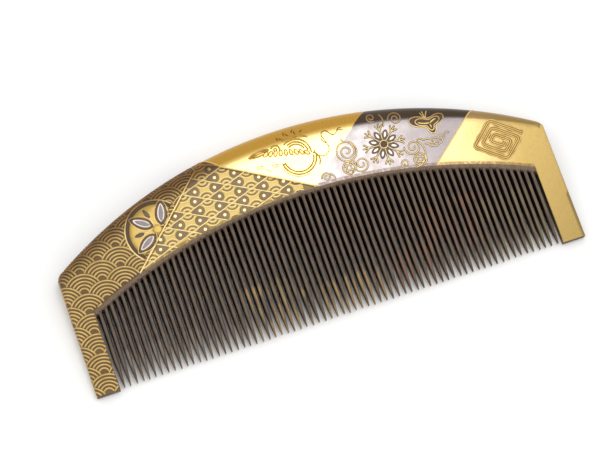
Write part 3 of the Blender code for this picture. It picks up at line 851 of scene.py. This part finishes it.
def polar(centre, radius, turns):
    """Places at radii and turns, in radians, about a centre."""
    return np.stack([centre[0] + radius * np.cos(turns), centre[1] + radius * np.sin(turns)], -1)


def laid(start, heading, along, across):
    """Places told by how far they are along a heading and to its left, from a start."""
    c, s = math.cos(math.radians(heading)), math.sin(math.radians(heading))
    return np.stack([start[0] + along * c - across * s, start[1] + along * s + across * c], -1)


def circle(centre, radius, start=0.0, end=360.0, count=40):
    return polar(centre, radius, np.radians(np.linspace(start, end, count + 1)))


def curve(points, fine=10):
    """A smooth path through a few points."""
    p = np.asarray(points, float)
    p = np.concatenate([2 * p[:1] - p[1:2], p, 2 * p[-1:] - p[-2:-1]])
    t = np.linspace(0, 1, fine, endpoint=False)[:, None]
    out = []
    for a, b, c, d in zip(p, p[1:], p[2:], p[3:]):
        square, cube = 2 * a - 5 * b + 4 * c - d, 3 * b - a - 3 * c + d
        out.append(0.5 * (2 * b + (c - a) * t + square * t**2 + cube * t**3))
    out.append(p[-2][None])
    return np.concatenate(out)


def inside(outline, x, y):
    """True where a place is inside a closed outline."""
    x, y = np.atleast_1d(x), np.atleast_1d(y)
    result = np.zeros(x.shape, bool)
    p = np.asarray(outline, float)
    for (ax, ay), (bx, by) in zip(p, np.roll(p, -1, 0)):
        crosses = (ay > y) != (by > y)
        with np.errstate(divide="ignore", invalid="ignore"):
            at = ax + (y - ay) * (bx - ax) / (by - ay)
        result ^= crosses & (x < at)
    return result


def beside(path, distance):
    """An open path moved sideways to its left; a minus distance moves it right."""
    p = np.asarray(path, float)
    along = np.gradient(p, axis=0)
    along /= np.maximum(np.hypot(along[:, 0], along[:, 1]), 1e-9)[:, None]
    return p + distance * np.stack([-along[:, 1], along[:, 0]], -1)


def spiral(centre, outer, inner, laps, start, way=1):
    """A path winding from the outer radius in to the inner one; start is its first heading."""
    t = np.linspace(0, 1, int(40 * laps) + 8)
    radius = outer + (inner - outer) * t**0.85
    return polar(centre, radius, math.radians(start) + way * 2 * math.pi * laps * t)


def leaf(centre, length, width, heading, point=1.0):
    """A petal or leaf outline: pointed at its outer end, rounded at its foot."""
    t = np.linspace(-1, 1, 17)
    half = width / 2 * (1 - np.abs(t) ** 2.2) ** 0.8 * (1 - 0.18 * point * t)
    along = np.concatenate([t, t[::-1][1:-1]]) * length / 2
    across = np.concatenate([half, -half[::-1][1:-1]])
    return laid(centre, heading, along, across)[::-1]


def closed_loop(outline):
    return np.concatenate([outline, outline[:1]])


def stroke(start, heading, length, bow=0.0):
    """One stroke of the brush; bow is how far its middle swings out to the left."""
    t = np.linspace(0, 1, 9)
    return laid(start, heading, t * length, 4 * bow * t * (1 - t))


def turned(centre, radius, heading):
    """The place at a radius and heading from a centre."""
    return tuple(polar(centre, radius, math.radians(heading)))


def hatched_leaf(centre, length, width, heading):
    """A leaf's outline with two ribs along it and two across."""
    paths = [closed_loop(leaf(centre, length, width, heading, 0.4))]
    for share in (-0.2, 0.2):
        foot = turned(turned(centre, 0.36 * length, heading + 180), share * width, heading + 90)
        paths.append(stroke(foot, heading, 0.72 * length))
        foot = turned(turned(centre, share * length, heading), 0.4 * width, heading - 90)
        paths.append(stroke(foot, heading + 90, 0.8 * width))
    return paths


def lobed_edge(start, heading, length, swell, lobes):
    """One side of a leaf: a bowed edge broken into rounded lobes."""
    t = np.linspace(0, 1, 10 * lobes + 1)
    lobe = 0.3
    across = swell * np.sin(math.pi * t) + lobe * np.abs(np.sin(math.pi * lobes * t))
    return laid(start, heading, t * length, across)


def trimmed(outline, centre, keep):
    """An outline pulled in towards its centre wherever it leaves the kept region."""
    centre = np.asarray(centre, float)
    away = np.asarray(outline, float) - centre
    share = np.ones(len(away))
    for _ in range(24):
        place = centre + away * share[:, None]
        share = np.where(keep(place[:, 0], place[:, 1]), share, share * 0.94)
    return centre + away * share[:, None]


def seen(points):
    """Places read off the lying comb to plan places: past the flat they are rolled out."""
    x, y = np.asarray(plan(points), float).T
    past, depth, height, nx, ny = rounding(x, y)
    turns, lengths = quarter_lengths(depth, height)
    looked = depth[:, None] * np.sin(turns) - EYE_LEAN * height[:, None] * (1 - np.cos(turns))
    out = []
    for k, shift in enumerate(past):
        more = np.interp(shift, looked[k], lengths[k]) - shift if shift > 0 else 0.0
        out.append((x[k] + nx[k] * more, y[k] + ny[k] * more))
    return np.array(out)


def within(number, margin=0.2):
    """A test for places on one panel, kept a little clear of its seams and edges."""
    def keep(x, y):
        good = on_coat(x, y, margin)
        for dx in (-margin, margin):
            good &= panel_at(np.asarray(x) + dx, y) == number
        return good
    return keep


def drawing(name, slot, paths, nodes=(), width=0.42, height=0.16, line=None, shadow_ribbon=None, halo=0.24):
    """Raised lines, over a wider darker ribbon where one is asked for: a painted shadow round the raised
    lines.
    """
    if shadow_ribbon is not None:
        wide = raised_lines(name + "_painted_shadow", paths, width + halo, 0.05, shadow_ribbon, taper=0.8, backs=BOTH)
        ride(wide, slot)
    item = raised_lines(name, paths, width, height, line or BRIGHT_LINE, backs=BOTH)
    return ride(item, slot, *nodes)


# ---------- medallion outline

MEDALLION_CENTRE = (-33.5, 30.9)


def medallion_arc(radius):
    """The medallion's round edge, from its foot over the left to the spine."""
    return seen(circle(MEDALLION_CENTRE, radius, 228, 44, 60))


RIM = medallion_arc(7.0)
GROUND_EDGE = medallion_arc(6.05)


# ---------- wave panel


def wave_centres():
    """Places of the wave scales: rows that step aside by half a scale."""
    first, across, up = np.array((-48.6, 19.8)), np.array((4.68, 1.7)), np.array((0.35, 4.5))
    places = []
    for i in range(-4, 9):
        for j in range(-9, 10):
            x, y = first + i * across + j * up
            if -64 < x < -12 and -6 < y < 58:
                places.append((x, y * STRETCH))
    return np.array(places)


def waves():
    centres = wave_centres()
    depth = centres @ np.array((0.122, 1.0))
    scale = 4.2
    keep_panel = within(0, 0.12)
    paths = []
    for centre, rank in zip(centres, depth):
        close_by = np.hypot(*(centres - centre).T) < 2.2 * scale
        nearer = centres[(depth < rank - 0.1) & close_by]

        def keep(x, y):
            good = keep_panel(x, y) & ~inside(RIM, x, y)
            for cx, cy in nearer:
                good &= np.hypot(x - cx, y - cy) > scale + 0.16
            return good

        for radius in (4.2, 3.43, 2.66, 1.9, 1.13):
            paths += clipped(circle(centre, radius, -90, 270, 60), keep)
    ride(raised_lines("wave_lines", paths, 0.40, 0.13, GOLD_LINE, backs=BOTH, taper=0.8), "wave_panel_skin")


waves()


# ---------- lattice panel


def teardrop(centre, radius, reach, heading):
    """A round pad with a point on one side."""
    lean = math.acos(radius / reach)
    turns = np.linspace(-math.pi, math.pi, 28, endpoint=False)
    size = np.where(np.abs(turns) < lean, radius / np.cos(lean - np.abs(turns)), radius)
    return polar(centre, size, turns + math.radians(heading))


def lattice():
    origin = np.array((-20.4, 36.4))
    rising, falling = np.array((5.2, 1.75)), np.array((4.94, -2.6))
    keep = within(1, 0.14)
    lines, dark_pads, dots, gold_arcs, dark_arcs = [], [], [], [], []
    stretch = np.array((1.0, STRETCH))
    for k in range(-9, 10):
        for middle, way in ((origin + (k + 0.5) * falling, rising), (origin + (k + 0.5) * rising, falling)):
            lines += clipped([(middle - 12 * way) * stretch, (middle + 12 * way) * stretch], keep)
    up_turns = (math.degrees(math.atan2(*rising[::-1])) + 9, math.degrees(math.atan2(*-falling[::-1])) - 9)
    for i in range(-9, 10):
        for j in range(-9, 10):
            cell = origin + i * rising + j * falling
            if not (-46 < cell[0] < 10 and 14 < cell[1] < 56):
                continue
            for side in (-1, 1):
                middle = (cell + side * np.array((2.25, -0.17))) * stretch
                if keep(*middle[:, None]).all():
                    drop = teardrop(middle, 1.12, 2.05, -4.3 if side > 0 else 175.7)
                    dark_pads.append(trimmed(drop, middle, keep))
                    dot = circle(middle, 0.42, count=14)[:-1]
                    if keep(dot[:, 0], dot[:, 1]).all():
                        dots.append(dot)
            corner = (cell + (rising - falling) / 2) * stretch
            for turn in (0.0, 180.0):
                a, b = up_turns[0] + turn, up_turns[1] + turn
                for radius in (0.92, 1.78):
                    gold_arcs += clipped(circle(corner, radius, a, b), keep)
                for radius in (0.52, 1.36):
                    dark_arcs += clipped(circle(corner, radius, a, b), keep)
    for name, paths, width, height, material in (
        ("lattice_lines", lines, 0.32, 0.15, LATTICE_LINE),
        ("lattice_gold_arcs", gold_arcs, 0.26, 0.11, LATTICE_LINE),
        ("lattice_dark_arcs", dark_arcs, 0.34, 0.06, PAD),
    ):
        ride(raised_lines(name, paths, width, height, material, backs=BOTH, taper=0.85), "lattice_panel_skin")
    ride(pads("lattice_pads", dark_pads, 0.06, PAD, backs=BOTH), "lattice_panel_skin")
    ride(pads("lattice_dots", dots, 0.1, LATTICE_LINE, base=0.05, backs=BOTH), "lattice_panel_skin")


lattice()


def seam_path(name, shift=0.0):
    """A seam's line over the front, from the teeth over the spine."""
    ys = np.linspace(21.0, 52.0, 400)
    return np.stack([seam_x(name, ys) + shift, ys], -1)


def seams():
    for name, shift, width, line, slot in (
        ("wave", 0.0, 0.36, LATTICE_LINE, "wave_panel_skin"),
        ("wave", 0.55, 0.26, DEEP_LINE, "wave_panel_skin"),
        ("lattice", -0.1, 0.36, BRIGHT_LINE, "lattice_panel_skin"),
        ("lattice", -0.8, 0.24, DEEP_LINE, "lattice_panel_skin"),
        ("plain", 0.0, 0.3, BRIGHT_LINE, "plain_gold_panel_skin"),
    ):
        def keep(x, y):
            good = on_coat(x, y, 0.05)
            if name == "lattice":
                good &= x < seam_x("silver", np.maximum(y, LOWEST_SEAM_Y)) + 0.3
            return good

        paths = clipped(seam_path(name, shift), keep)
        title = f"{name}_seam_line_{'inner' if shift < -0.3 or shift > 0.3 else 'main'}"
        ride(raised_lines(title, paths, width, 0.12, line, backs=BOTH), slot)


seams()


# ---------- medallion


def medallion():
    heart = seen([(-33.2, 31.2)])[0]
    rim, node = "medallion_rim", "medallion_ground"
    ride(pads("medallion_ground_gold", [GROUND_EDGE[::-1]], 0.12, MEDALLION_GOLD), node, node)
    band = (RIM + GROUND_EDGE) / 2
    ride(raised_lines("medallion_dark_band", [band], 0.85, 0.05, OUTLINE_AND_SHADOW, taper=0.9), rim)
    ride(raised_lines("medallion_rim_line", [RIM], 0.36, 0.2, LATTICE_LINE, taper=0.9), rim, rim)
    # The heart is a small flower seen end on, with a scalloped edge
    turns = np.linspace(0, 2 * math.pi, 48, endpoint=False)
    size = 1.12 + 0.1 * np.cos(8 * turns)
    disc = polar(heart, size, turns)
    ride(pads("medallion_heart_disc", [disc], 0.26, MEDALLION_GOLD), "medallion_heart", "medallion_heart")
    petals = (
        ("upper", (-31.3, 34.5), 5.7, 2.8, 74),
        ("left", (-36.1, 33.5), 5.7, 2.7, 147),
        ("lower", (-36.3, 28.9), 5.7, 2.7, 212),
    )
    for name, centre, length, width, heading in petals:
        middle = seen([centre])[0]
        slot = "medallion_petal_" + name
        outline = leaf(middle, length, width, heading)
        ride(pads(f"petal_{name}_inlay", [outline], 0.2, PETAL_EDGE), slot, slot)
        heart_leaf = leaf(middle, length * 0.7, width * 0.46, heading)
        ride(pads(f"petal_{name}_shell", [heart_leaf], 0.06, INLAY, base=0.16), slot)
        rings = [closed_loop(heart_leaf)]
        ride(raised_lines(f"petal_{name}_silver_line", rings, 0.38, 0.12, SILVER_LINE, base=0.16), slot)
        halo = closed_loop(leaf(middle, length * 1.05, width * 1.14, heading))
        ride(raised_lines(f"petal_{name}_gold_line", [halo], 0.2, 0.16, LATTICE_LINE, base=0.06), slot)
    for name, centre, heading in (("upper", (-34.5, 35.2), 112), ("left", (-37.4, 31.1), 184)):
        middle = seen([centre])[0]
        slot = "medallion_bud_" + name
        bud = leaf(middle, 2.6, 1.15, heading)
        ride(pads(f"bud_{name}_pad", [bud], 0.2, PETAL_EDGE), slot, slot)
        edge = [closed_loop(bud)]
        ride(raised_lines(f"bud_{name}_line", edge, 0.16, 0.12, LATTICE_LINE, base=0.1), slot)
    stems = [curve(seen(p)) for p in (
        [(-33.6, 32.3), (-33.9, 33.2), (-34.1, 34.1)],
        [(-34.4, 31.3), (-35.4, 31.2), (-36.3, 31.1)],
    )]
    ride(raised_lines("medallion_stems", stems, 0.2, 0.08, LATTICE_LINE, base=0.1), "medallion_ground")


MEDALLION_GOLD = gold("medallion_gold", srgb(190, 162, 92), srgb(160, 130, 64), srgb(112, 86, 44), wear=0.5)
PETAL_EDGE = gold(
    "petal_edge", srgb(112, 92, 62), srgb(80, 64, 44), srgb(60, 48, 34), 0.4, 0.45, blotch=1.4
)
SILVER_LINE = gold(
    "silver_line", srgb(224, 214, 206), srgb(190, 178, 172), srgb(140, 124, 110), 0.35, 0.8, wear=0.2
)
INLAY = gold("silver_inlay", srgb(128, 118, 116), srgb(94, 86, 86), srgb(70, 60, 52), 0.3, 0.6, blotch=1.2)
medallion()


# ---------- bird


BIRD_HEART = (1.8, 37.8)
BIRD_HEAD = (-2.4, 40.1)
TAIL_CENTRE = (2.1, 37.0)


def bird_lines(name, slot, paths, nodes=(), width=0.26):
    style = {"height": 0.14, "line": BIRD_LINE, "shadow_ribbon": BIRD_SHADOW, "halo": 0.16}
    drawing(name, slot, [seen(p) for p in paths], nodes, width=width, **style)


def bird_wing():
    bar = closed_loop(leaf((-6.3, 40.3), 5.0, 1.0, 187))
    bird_lines("wing_bar_lines", "bird_wing_bar", (bar, stroke((-8.1, 40.1), 7, 3.8)), ("bird_wing_bar",))
    feathers, count = [], 9
    for k in range(count):
        share = k / (count - 1)
        foot = (-4.2 + 7.9 * share, 40.2 - 0.9 * share - 1.3 * share**3)
        heading = 216 + 94 * share
        middle = seen([turned(foot, 0.75, heading)])[0]
        feathers.append(leaf(middle, 1.5, 0.72, heading, -0.5))
    ride(pads("plumage_pads", feathers, 0.08, BRIGHT_LINE), "bird_plumage", "bird_plumage")
    style = {"width": 0.2, "height": 0.14, "line": BIRD_LINE, "shadow_ribbon": BIRD_SHADOW, "halo": 0.14}
    drawing("plumage_lines", "bird_plumage", [closed_loop(f) for f in feathers], **style)


def bird_body():
    back = [circle(BIRD_HEART, radius, start, end) for radius, start, end in (
        (3.4, 128, -12), (2.75, 120, 2), (2.2, 124, 18),
    )]
    hood = circle(BIRD_HEAD, 0.98, 150, -35)
    breast = circle((4.5, 35.3), 2.0, 62, -42)
    mantle = [stroke((-0.4, 41.5), 0, 3.4, 0.3), stroke((2.6, 41.8), -22, 3.1, 0.3)]
    bird_lines("body_lines", "bird_body", back + [hood, breast] + mantle, ("bird_body",))
    eye = circle(seen([BIRD_HEAD])[0], 0.35, count=20)
    style = {"line": BIRD_LINE, "shadow_ribbon": BIRD_SHADOW, "halo": 0.14}
    drawing("head_ring", "bird_body", [eye], width=0.18, height=0.12, **style)
    crest, count = [], 8
    for k in range(count):
        heading = 136 - 74 * k / (count - 1)
        foot = turned(BIRD_HEART, 4.6 + 0.4 * (k % 2), heading)
        crest.append(seen(stroke(foot, heading + 30 - 60 * (k % 2), 0.9, 0.16)))
    drawing("crest_lines", "bird_body", crest, width=0.3, height=0.1, line=DEEP_LINE)


def bird_tail():
    inner, outer, start, end = 3.4, 4.0, 186, 352
    middle = (inner + outer) / 2
    cap = circle(turned(TAIL_CENTRE, middle, start), (outer - inner) / 2, start - 180, start - 360, 10)
    rings = [circle(TAIL_CENTRE, radius, start, end) for radius in (inner, outer)]
    bird_lines("tail_ring_lines", "bird_tail_ring", rings + [cap], ("bird_tail_ring",))
    wisps = [circle(TAIL_CENTRE, 4.5, 196, 286)] + [stroke(*wisp) for wisp in (
        ((-4.3, 36.7), -6, 1.7, 0.3), ((-4.0, 36.3), -8, 1.2, 0.2), ((-7.8, 37.4), -6, 1.7, 0.25),
        ((-7.9, 37.0), -6, 1.6, 0.15), ((-5.7, 36.6), -38, 1.3, -0.2),
    )]
    wisps = [seen(p) for p in wisps]
    drawing("tail_cloud_lines", "bird_tail_ring", wisps, width=0.2, height=0.1, line=BIRD_SHADOW)


def bird_ribbon():
    """A thin band that hangs in a loop, climbs and runs out in two waves."""
    band = np.concatenate([
        circle((7.6, 37.2), 1.7, 170, 385), circle((9.4, 40.0), 0.9, 185, 60, 16),
        circle((11.3, 40.2), 0.8, 205, 335, 14), circle((12.9, 39.8), 0.7, 155, 50, 12),
    ])
    twins = [stroke((9.2, 38.0), 122, 1.9, 0.25), stroke((12.1, 40.1), -13, 1.7, 0.1)]
    paths = [seen(p) for p in [band] + twins]
    style = {"width": 0.24, "height": 0.12, "line": BIRD_SHADOW}
    drawing("ribbon_lines", "bird_ribbon", paths, ("bird_ribbon",), **style)


BIRD_LINE = gold("bird_line", srgb(214, 170, 74), srgb(184, 138, 52), srgb(136, 98, 40), wear=0.3)
BIRD_SHADOW = gold(
    "bird_shadow", srgb(132, 104, 58), srgb(98, 74, 40), srgb(72, 54, 32), 0.45, 0.4, wear=0.3
)
bird_wing()
bird_body()
bird_tail()
bird_ribbon()


# ---------- motifs on the silver panel

FROST_HUB = (21.3, 33.8)


def frost_flower():
    """Eight even arms with a chevron near each tip, and a petal between each two."""
    hub = seen([FROST_HUB])[0]
    reach, count, first = 5.0, 8, 87
    centre = circle(hub, 0.95, 22.5, 382.5, 8)
    arms, petals, shells = [centre], [], []
    for k in range(count):
        heading = first - 360 * k / count
        arms.append(np.array([turned(hub, 0.19 * reach, heading), turned(hub, reach, heading)]))
        notch = turned(hub, 0.68 * reach, heading)
        sides = [turned(turned(hub, 0.92 * reach, heading), 0.95, heading + side) for side in (-90, 90)]
        arms.append(np.array([sides[0], notch, sides[1]]))
        between = heading - 180 / count
        petals.append(leaf(turned(hub, 2.3, between), 2.5, 1.3, between, -0.2))
        shells.append(leaf(turned(hub, 2.3, between), 1.5, 0.56, between, -0.2))
    ride(pads("frost_hub", [centre[:-1]], 0.06, OUTLINE_AND_SHADOW, backs=BOTH), "frost_flower")
    ride(pads("frost_petals", petals, 0.06, PETAL_BROWN_AND_SHADOW, backs=BOTH), "frost_flower")
    ride(pads("frost_petal_shells", shells, 0.06, SILVER_LINE, base=0.05, backs=BOTH), "frost_flower")
    line = {"width": 0.25, "line": LATTICE_LINE, "shadow_ribbon": PETAL_BROWN_AND_SHADOW, "halo": 0.26}
    drawing("frost_flower_lines", "frost_flower", arms, ("frost_flower",), **line)


BUTTERFLY = (32.8, 35.2)


def wing_edge(size):
    """The wings' outline about the body: three rounded lobes, as (heading, reach, spread)."""
    turns = np.linspace(0, 360, 73)[:-1]
    waist = 1.2
    radius = np.full(len(turns), waist)
    for heading, reach, spread in ((157, 4.7, 28), (14, 3.6, 32), (275, 2.5, 34)):
        off = (turns - heading + 180) % 360 - 180
        radius += (reach - waist) * np.exp(-((off / spread) ** 2))
    return seen(polar(BUTTERFLY, radius * size, np.radians(turns)))


def butterfly():
    wings, inner = wing_edge(1.0), wing_edge(0.7)
    ride(pads("wing_ground", [wings], 0.08, OUTLINE_AND_SHADOW), "butterfly_wings", "butterfly_wings")
    lines = [closed_loop(wings), closed_loop(inner)]
    ride(raised_lines("wing_lines", lines, 0.27, 0.14, LATTICE_LINE, base=0.06), "butterfly_wings")
    ribs = [seen(p) for p in (
        stroke((30.3, 36.1), -18, 2.7, -0.2),
        stroke((32.9, 35.2), 20, 1.7, 0.1),
        stroke((32.8, 35.0), -82, 1.0),
    )]
    ride(raised_lines("wing_heart", ribs, 0.36, 0.12, BRIGHT_LINE, base=0.06), "butterfly_wings")
    feelers = [seen(stroke((32.3, 36.5), heading, 1.9, 0.1)) for heading in (116, 96, 62)]
    drawing("feeler_lines", "butterfly_feelers", feelers, ("butterfly_feelers",), width=0.22, shadow_ribbon=OUTLINE_AND_SHADOW)


def vine(name, slot, paths, width=0.24):
    style = {"height": 0.15, "line": LATTICE_LINE, "shadow_ribbon": VINE_SHADOW, "halo": 0.2}
    drawing(name, slot, [seen(p) for p in paths], (slot,), width=width, **style)


def vines():
    vine("upper_scroll_lines", "vine_scroll_upper", [
        circle((12.7, 34.8), 2.25),
        spiral((12.7, 34.8), 2.1, 0.4, 1.5, 60, -1),
        stroke((13.0, 37.1), 120, 1.1, 0.2),
    ])
    vine("lower_scroll_lines", "vine_scroll_lower", hatched_leaf((12.0, 31.1), 3.0, 2.7, 90) + [
        spiral((15.0, 31.1), 1.9, 0.4, 1.5, 215), stroke((13.4, 30.0), 88, 2.8, -0.2),
    ])
    vine("right_scroll_lines", "vine_scroll_right", hatched_leaf((28.0, 28.0), 2.9, 2.8, 75) + [
        spiral((27.3, 31.2), 2.0, 0.4, 1.6, 165), circle((26.5, 29.7), 3.2, 50, -92),
        spiral((24.5, 28.1), 1.1, 0.35, 1.2, 240, -1),
    ])
    vine("small_scroll_lines", "vine_scroll_small", [
        spiral((6.5, 30.7), 1.15, 0.3, 1.4, 185, -1), stroke((7.4, 31.1), -55, 1.7, 0.25),
    ])
    vine("spine_scroll_lines", "ridge_scroll", [
        spiral((20.5, 40.5), 1.15, 0.35, 1.4, 300, -1), spiral((25.7, 38.6), 1.7, 0.4, 1.6, 175, -1),
        stroke((22.5, 37.6), 90, 3.2, -0.45),
    ])


def spray():
    vine("leaf_spray_lines", "leaf_spray", [
        lobed_edge((28.7, 32.4), -4, 7.6, -0.7, 5), lobed_edge((30.2, 31.0), 3, 4.9, -1.5, 4),
        stroke((30.7, 31.0), -8, 2.6, -0.15), stroke((31.9, 31.3), -42, 1.2), stroke((33.6, 31.7), -72, 1.0),
    ], width=0.22)


# Brown of the frost flower's petals, also the painted shadow round its raised lines.
PETAL_BROWN_AND_SHADOW = gold(
    "petal_brown_and_shadow", srgb(112, 90, 76), srgb(84, 66, 54), srgb(66, 52, 40), 0.45, 0.4, wear=0.3
)
VINE_SHADOW = gold(
    "vine_shadow", srgb(128, 108, 92), srgb(100, 82, 66), srgb(80, 62, 46), 0.45, 0.4, wear=0.3
)
frost_flower()
butterfly()
vines()
spray()


# ---------- square spiral


def rounded_corners(points, radius, fine=7):
    """A path through corners, each rounded off."""
    points = np.asarray(points, float)
    out = [points[0]]
    for before, corner, after in zip(points, points[1:], points[2:]):
        a, b = before - corner, after - corner
        cut = min(radius, 0.45 * np.hypot(*a), 0.45 * np.hypot(*b))
        a, b = corner + a / np.hypot(*a) * cut, corner + b / np.hypot(*b) * cut
        for t in np.linspace(0, 1, fine):
            out.append((1 - t) ** 2 * a + 2 * t * (1 - t) * corner + t**2 * b)
    out.append(points[-1])
    return np.array(out)


def square_spiral():
    """A rounded, leaning square wound inward, every lap a band of three fine ridges."""
    centre = np.array((46.4, 26.75))
    lean = math.radians(-38)
    along = np.array((math.cos(lean), math.sin(lean)))
    up = np.array((-math.sin(lean), math.cos(lean))) + 0.19 * along
    wide, high, pitch = 4.0, 3.5, 1.27
    corners = [(wide, high)]
    for lap in range(3):
        w, h = wide - pitch * lap, high - pitch * lap
        corners += [(-w, h), (-w, -h), (w, -h)]
        if lap < 2:
            corners.append((w, h - pitch))
    corners.append((wide - 2 * pitch, 0.05))
    path = np.array([centre + a * along + b * up for a, b in corners]) * np.array((1.0, STRETCH))
    path = resample(rounded_corners(path, 0.95), 0.12)
    ridges = [beside(path, shift) for shift in (-0.42, 0.0, 0.42)]
    ride(raised_lines("square_spiral_band", [path], 1.24, 0.05, DEEP_LINE, taper=0.95), "square_spiral")
    ride(
        raised_lines("square_spiral_ridges", ridges, 0.27, 0.17, BRIGHT_LINE, taper=0.9),
        "square_spiral", "square_spiral",
    )


square_spiral()


# ---------- table, light and camera


def table_top():
    m = Nodes("white_table")
    fibre = m.noise(0.6, 4.0, 0.6)
    tone = m.mix(m.ramp(m.noise(60.0, 3.0), 0.3, 0.7), srgb(250, 250, 249), srgb(244, 244, 243))
    return m.finish(tone, m.ramp(fibre, 0.3, 0.7, 0.75, 0.9), 0.0, m.bump(fibre, 0.02, 0.3))


TABLE_HALF = 900.0
corners = ((-1, -1), (1, -1), (1, 1), (-1, 1))
floor = make_object(
    "table_top",
    [(TABLE_HALF * u, TABLE_HALF * v, 0) for u, v in corners],
    [(0, 1, 2, 3)],
    table_top(),
    smooth=False,
)


def softbox(name, place, aim, size, power):
    data = bpy.data.lights.new(name, "AREA")
    data.shape = "RECTANGLE"
    data.size, data.size_y = size[0] * MM, size[1] * MM
    data.energy = power
    item = bpy.data.objects.new(name, data)
    item.location = Vector(place) * MM
    item.rotation_euler = (Vector(aim) - Vector(place)).to_track_quat("-Z", "Y").to_euler()
    bpy.context.scene.collection.objects.link(item)
    return item


softbox("main_softbox", (100, 45, 600), (10, 0, 0), (88, 230), 0.7)

world = bpy.data.worlds.new("studio_air")
bpy.context.scene.world = world
world.use_nodes = True
sky = world.node_tree
air = sky.nodes["Background"]
air.inputs["Color"].default_value = (1.0, 1.0, 1.0, 1.0)
air.inputs["Strength"].default_value = 1.0
bpy.context.scene.view_settings.view_transform = "Standard"

camera_data = bpy.data.cameras.new("camera")
camera_data.sensor_width = 36.0
camera_data.lens = 135.39
camera_data.clip_start = 0.02
camera = bpy.data.objects.new("camera", camera_data)
# The camera looks down on the comb from the tooth side, tipped back, rolled and swung round
CAMERA_TURN = (20.181, -1.670, -19.669)
CAMERA_PLACE = (-74.06, -136.30 - MIDDLE_Y, 475.87)
camera.rotation_euler = [math.radians(angle) for angle in CAMERA_TURN]
camera.location = Vector(CAMERA_PLACE) * MM
bpy.context.scene.collection.objects.link(camera)
bpy.context.scene.camera = camera
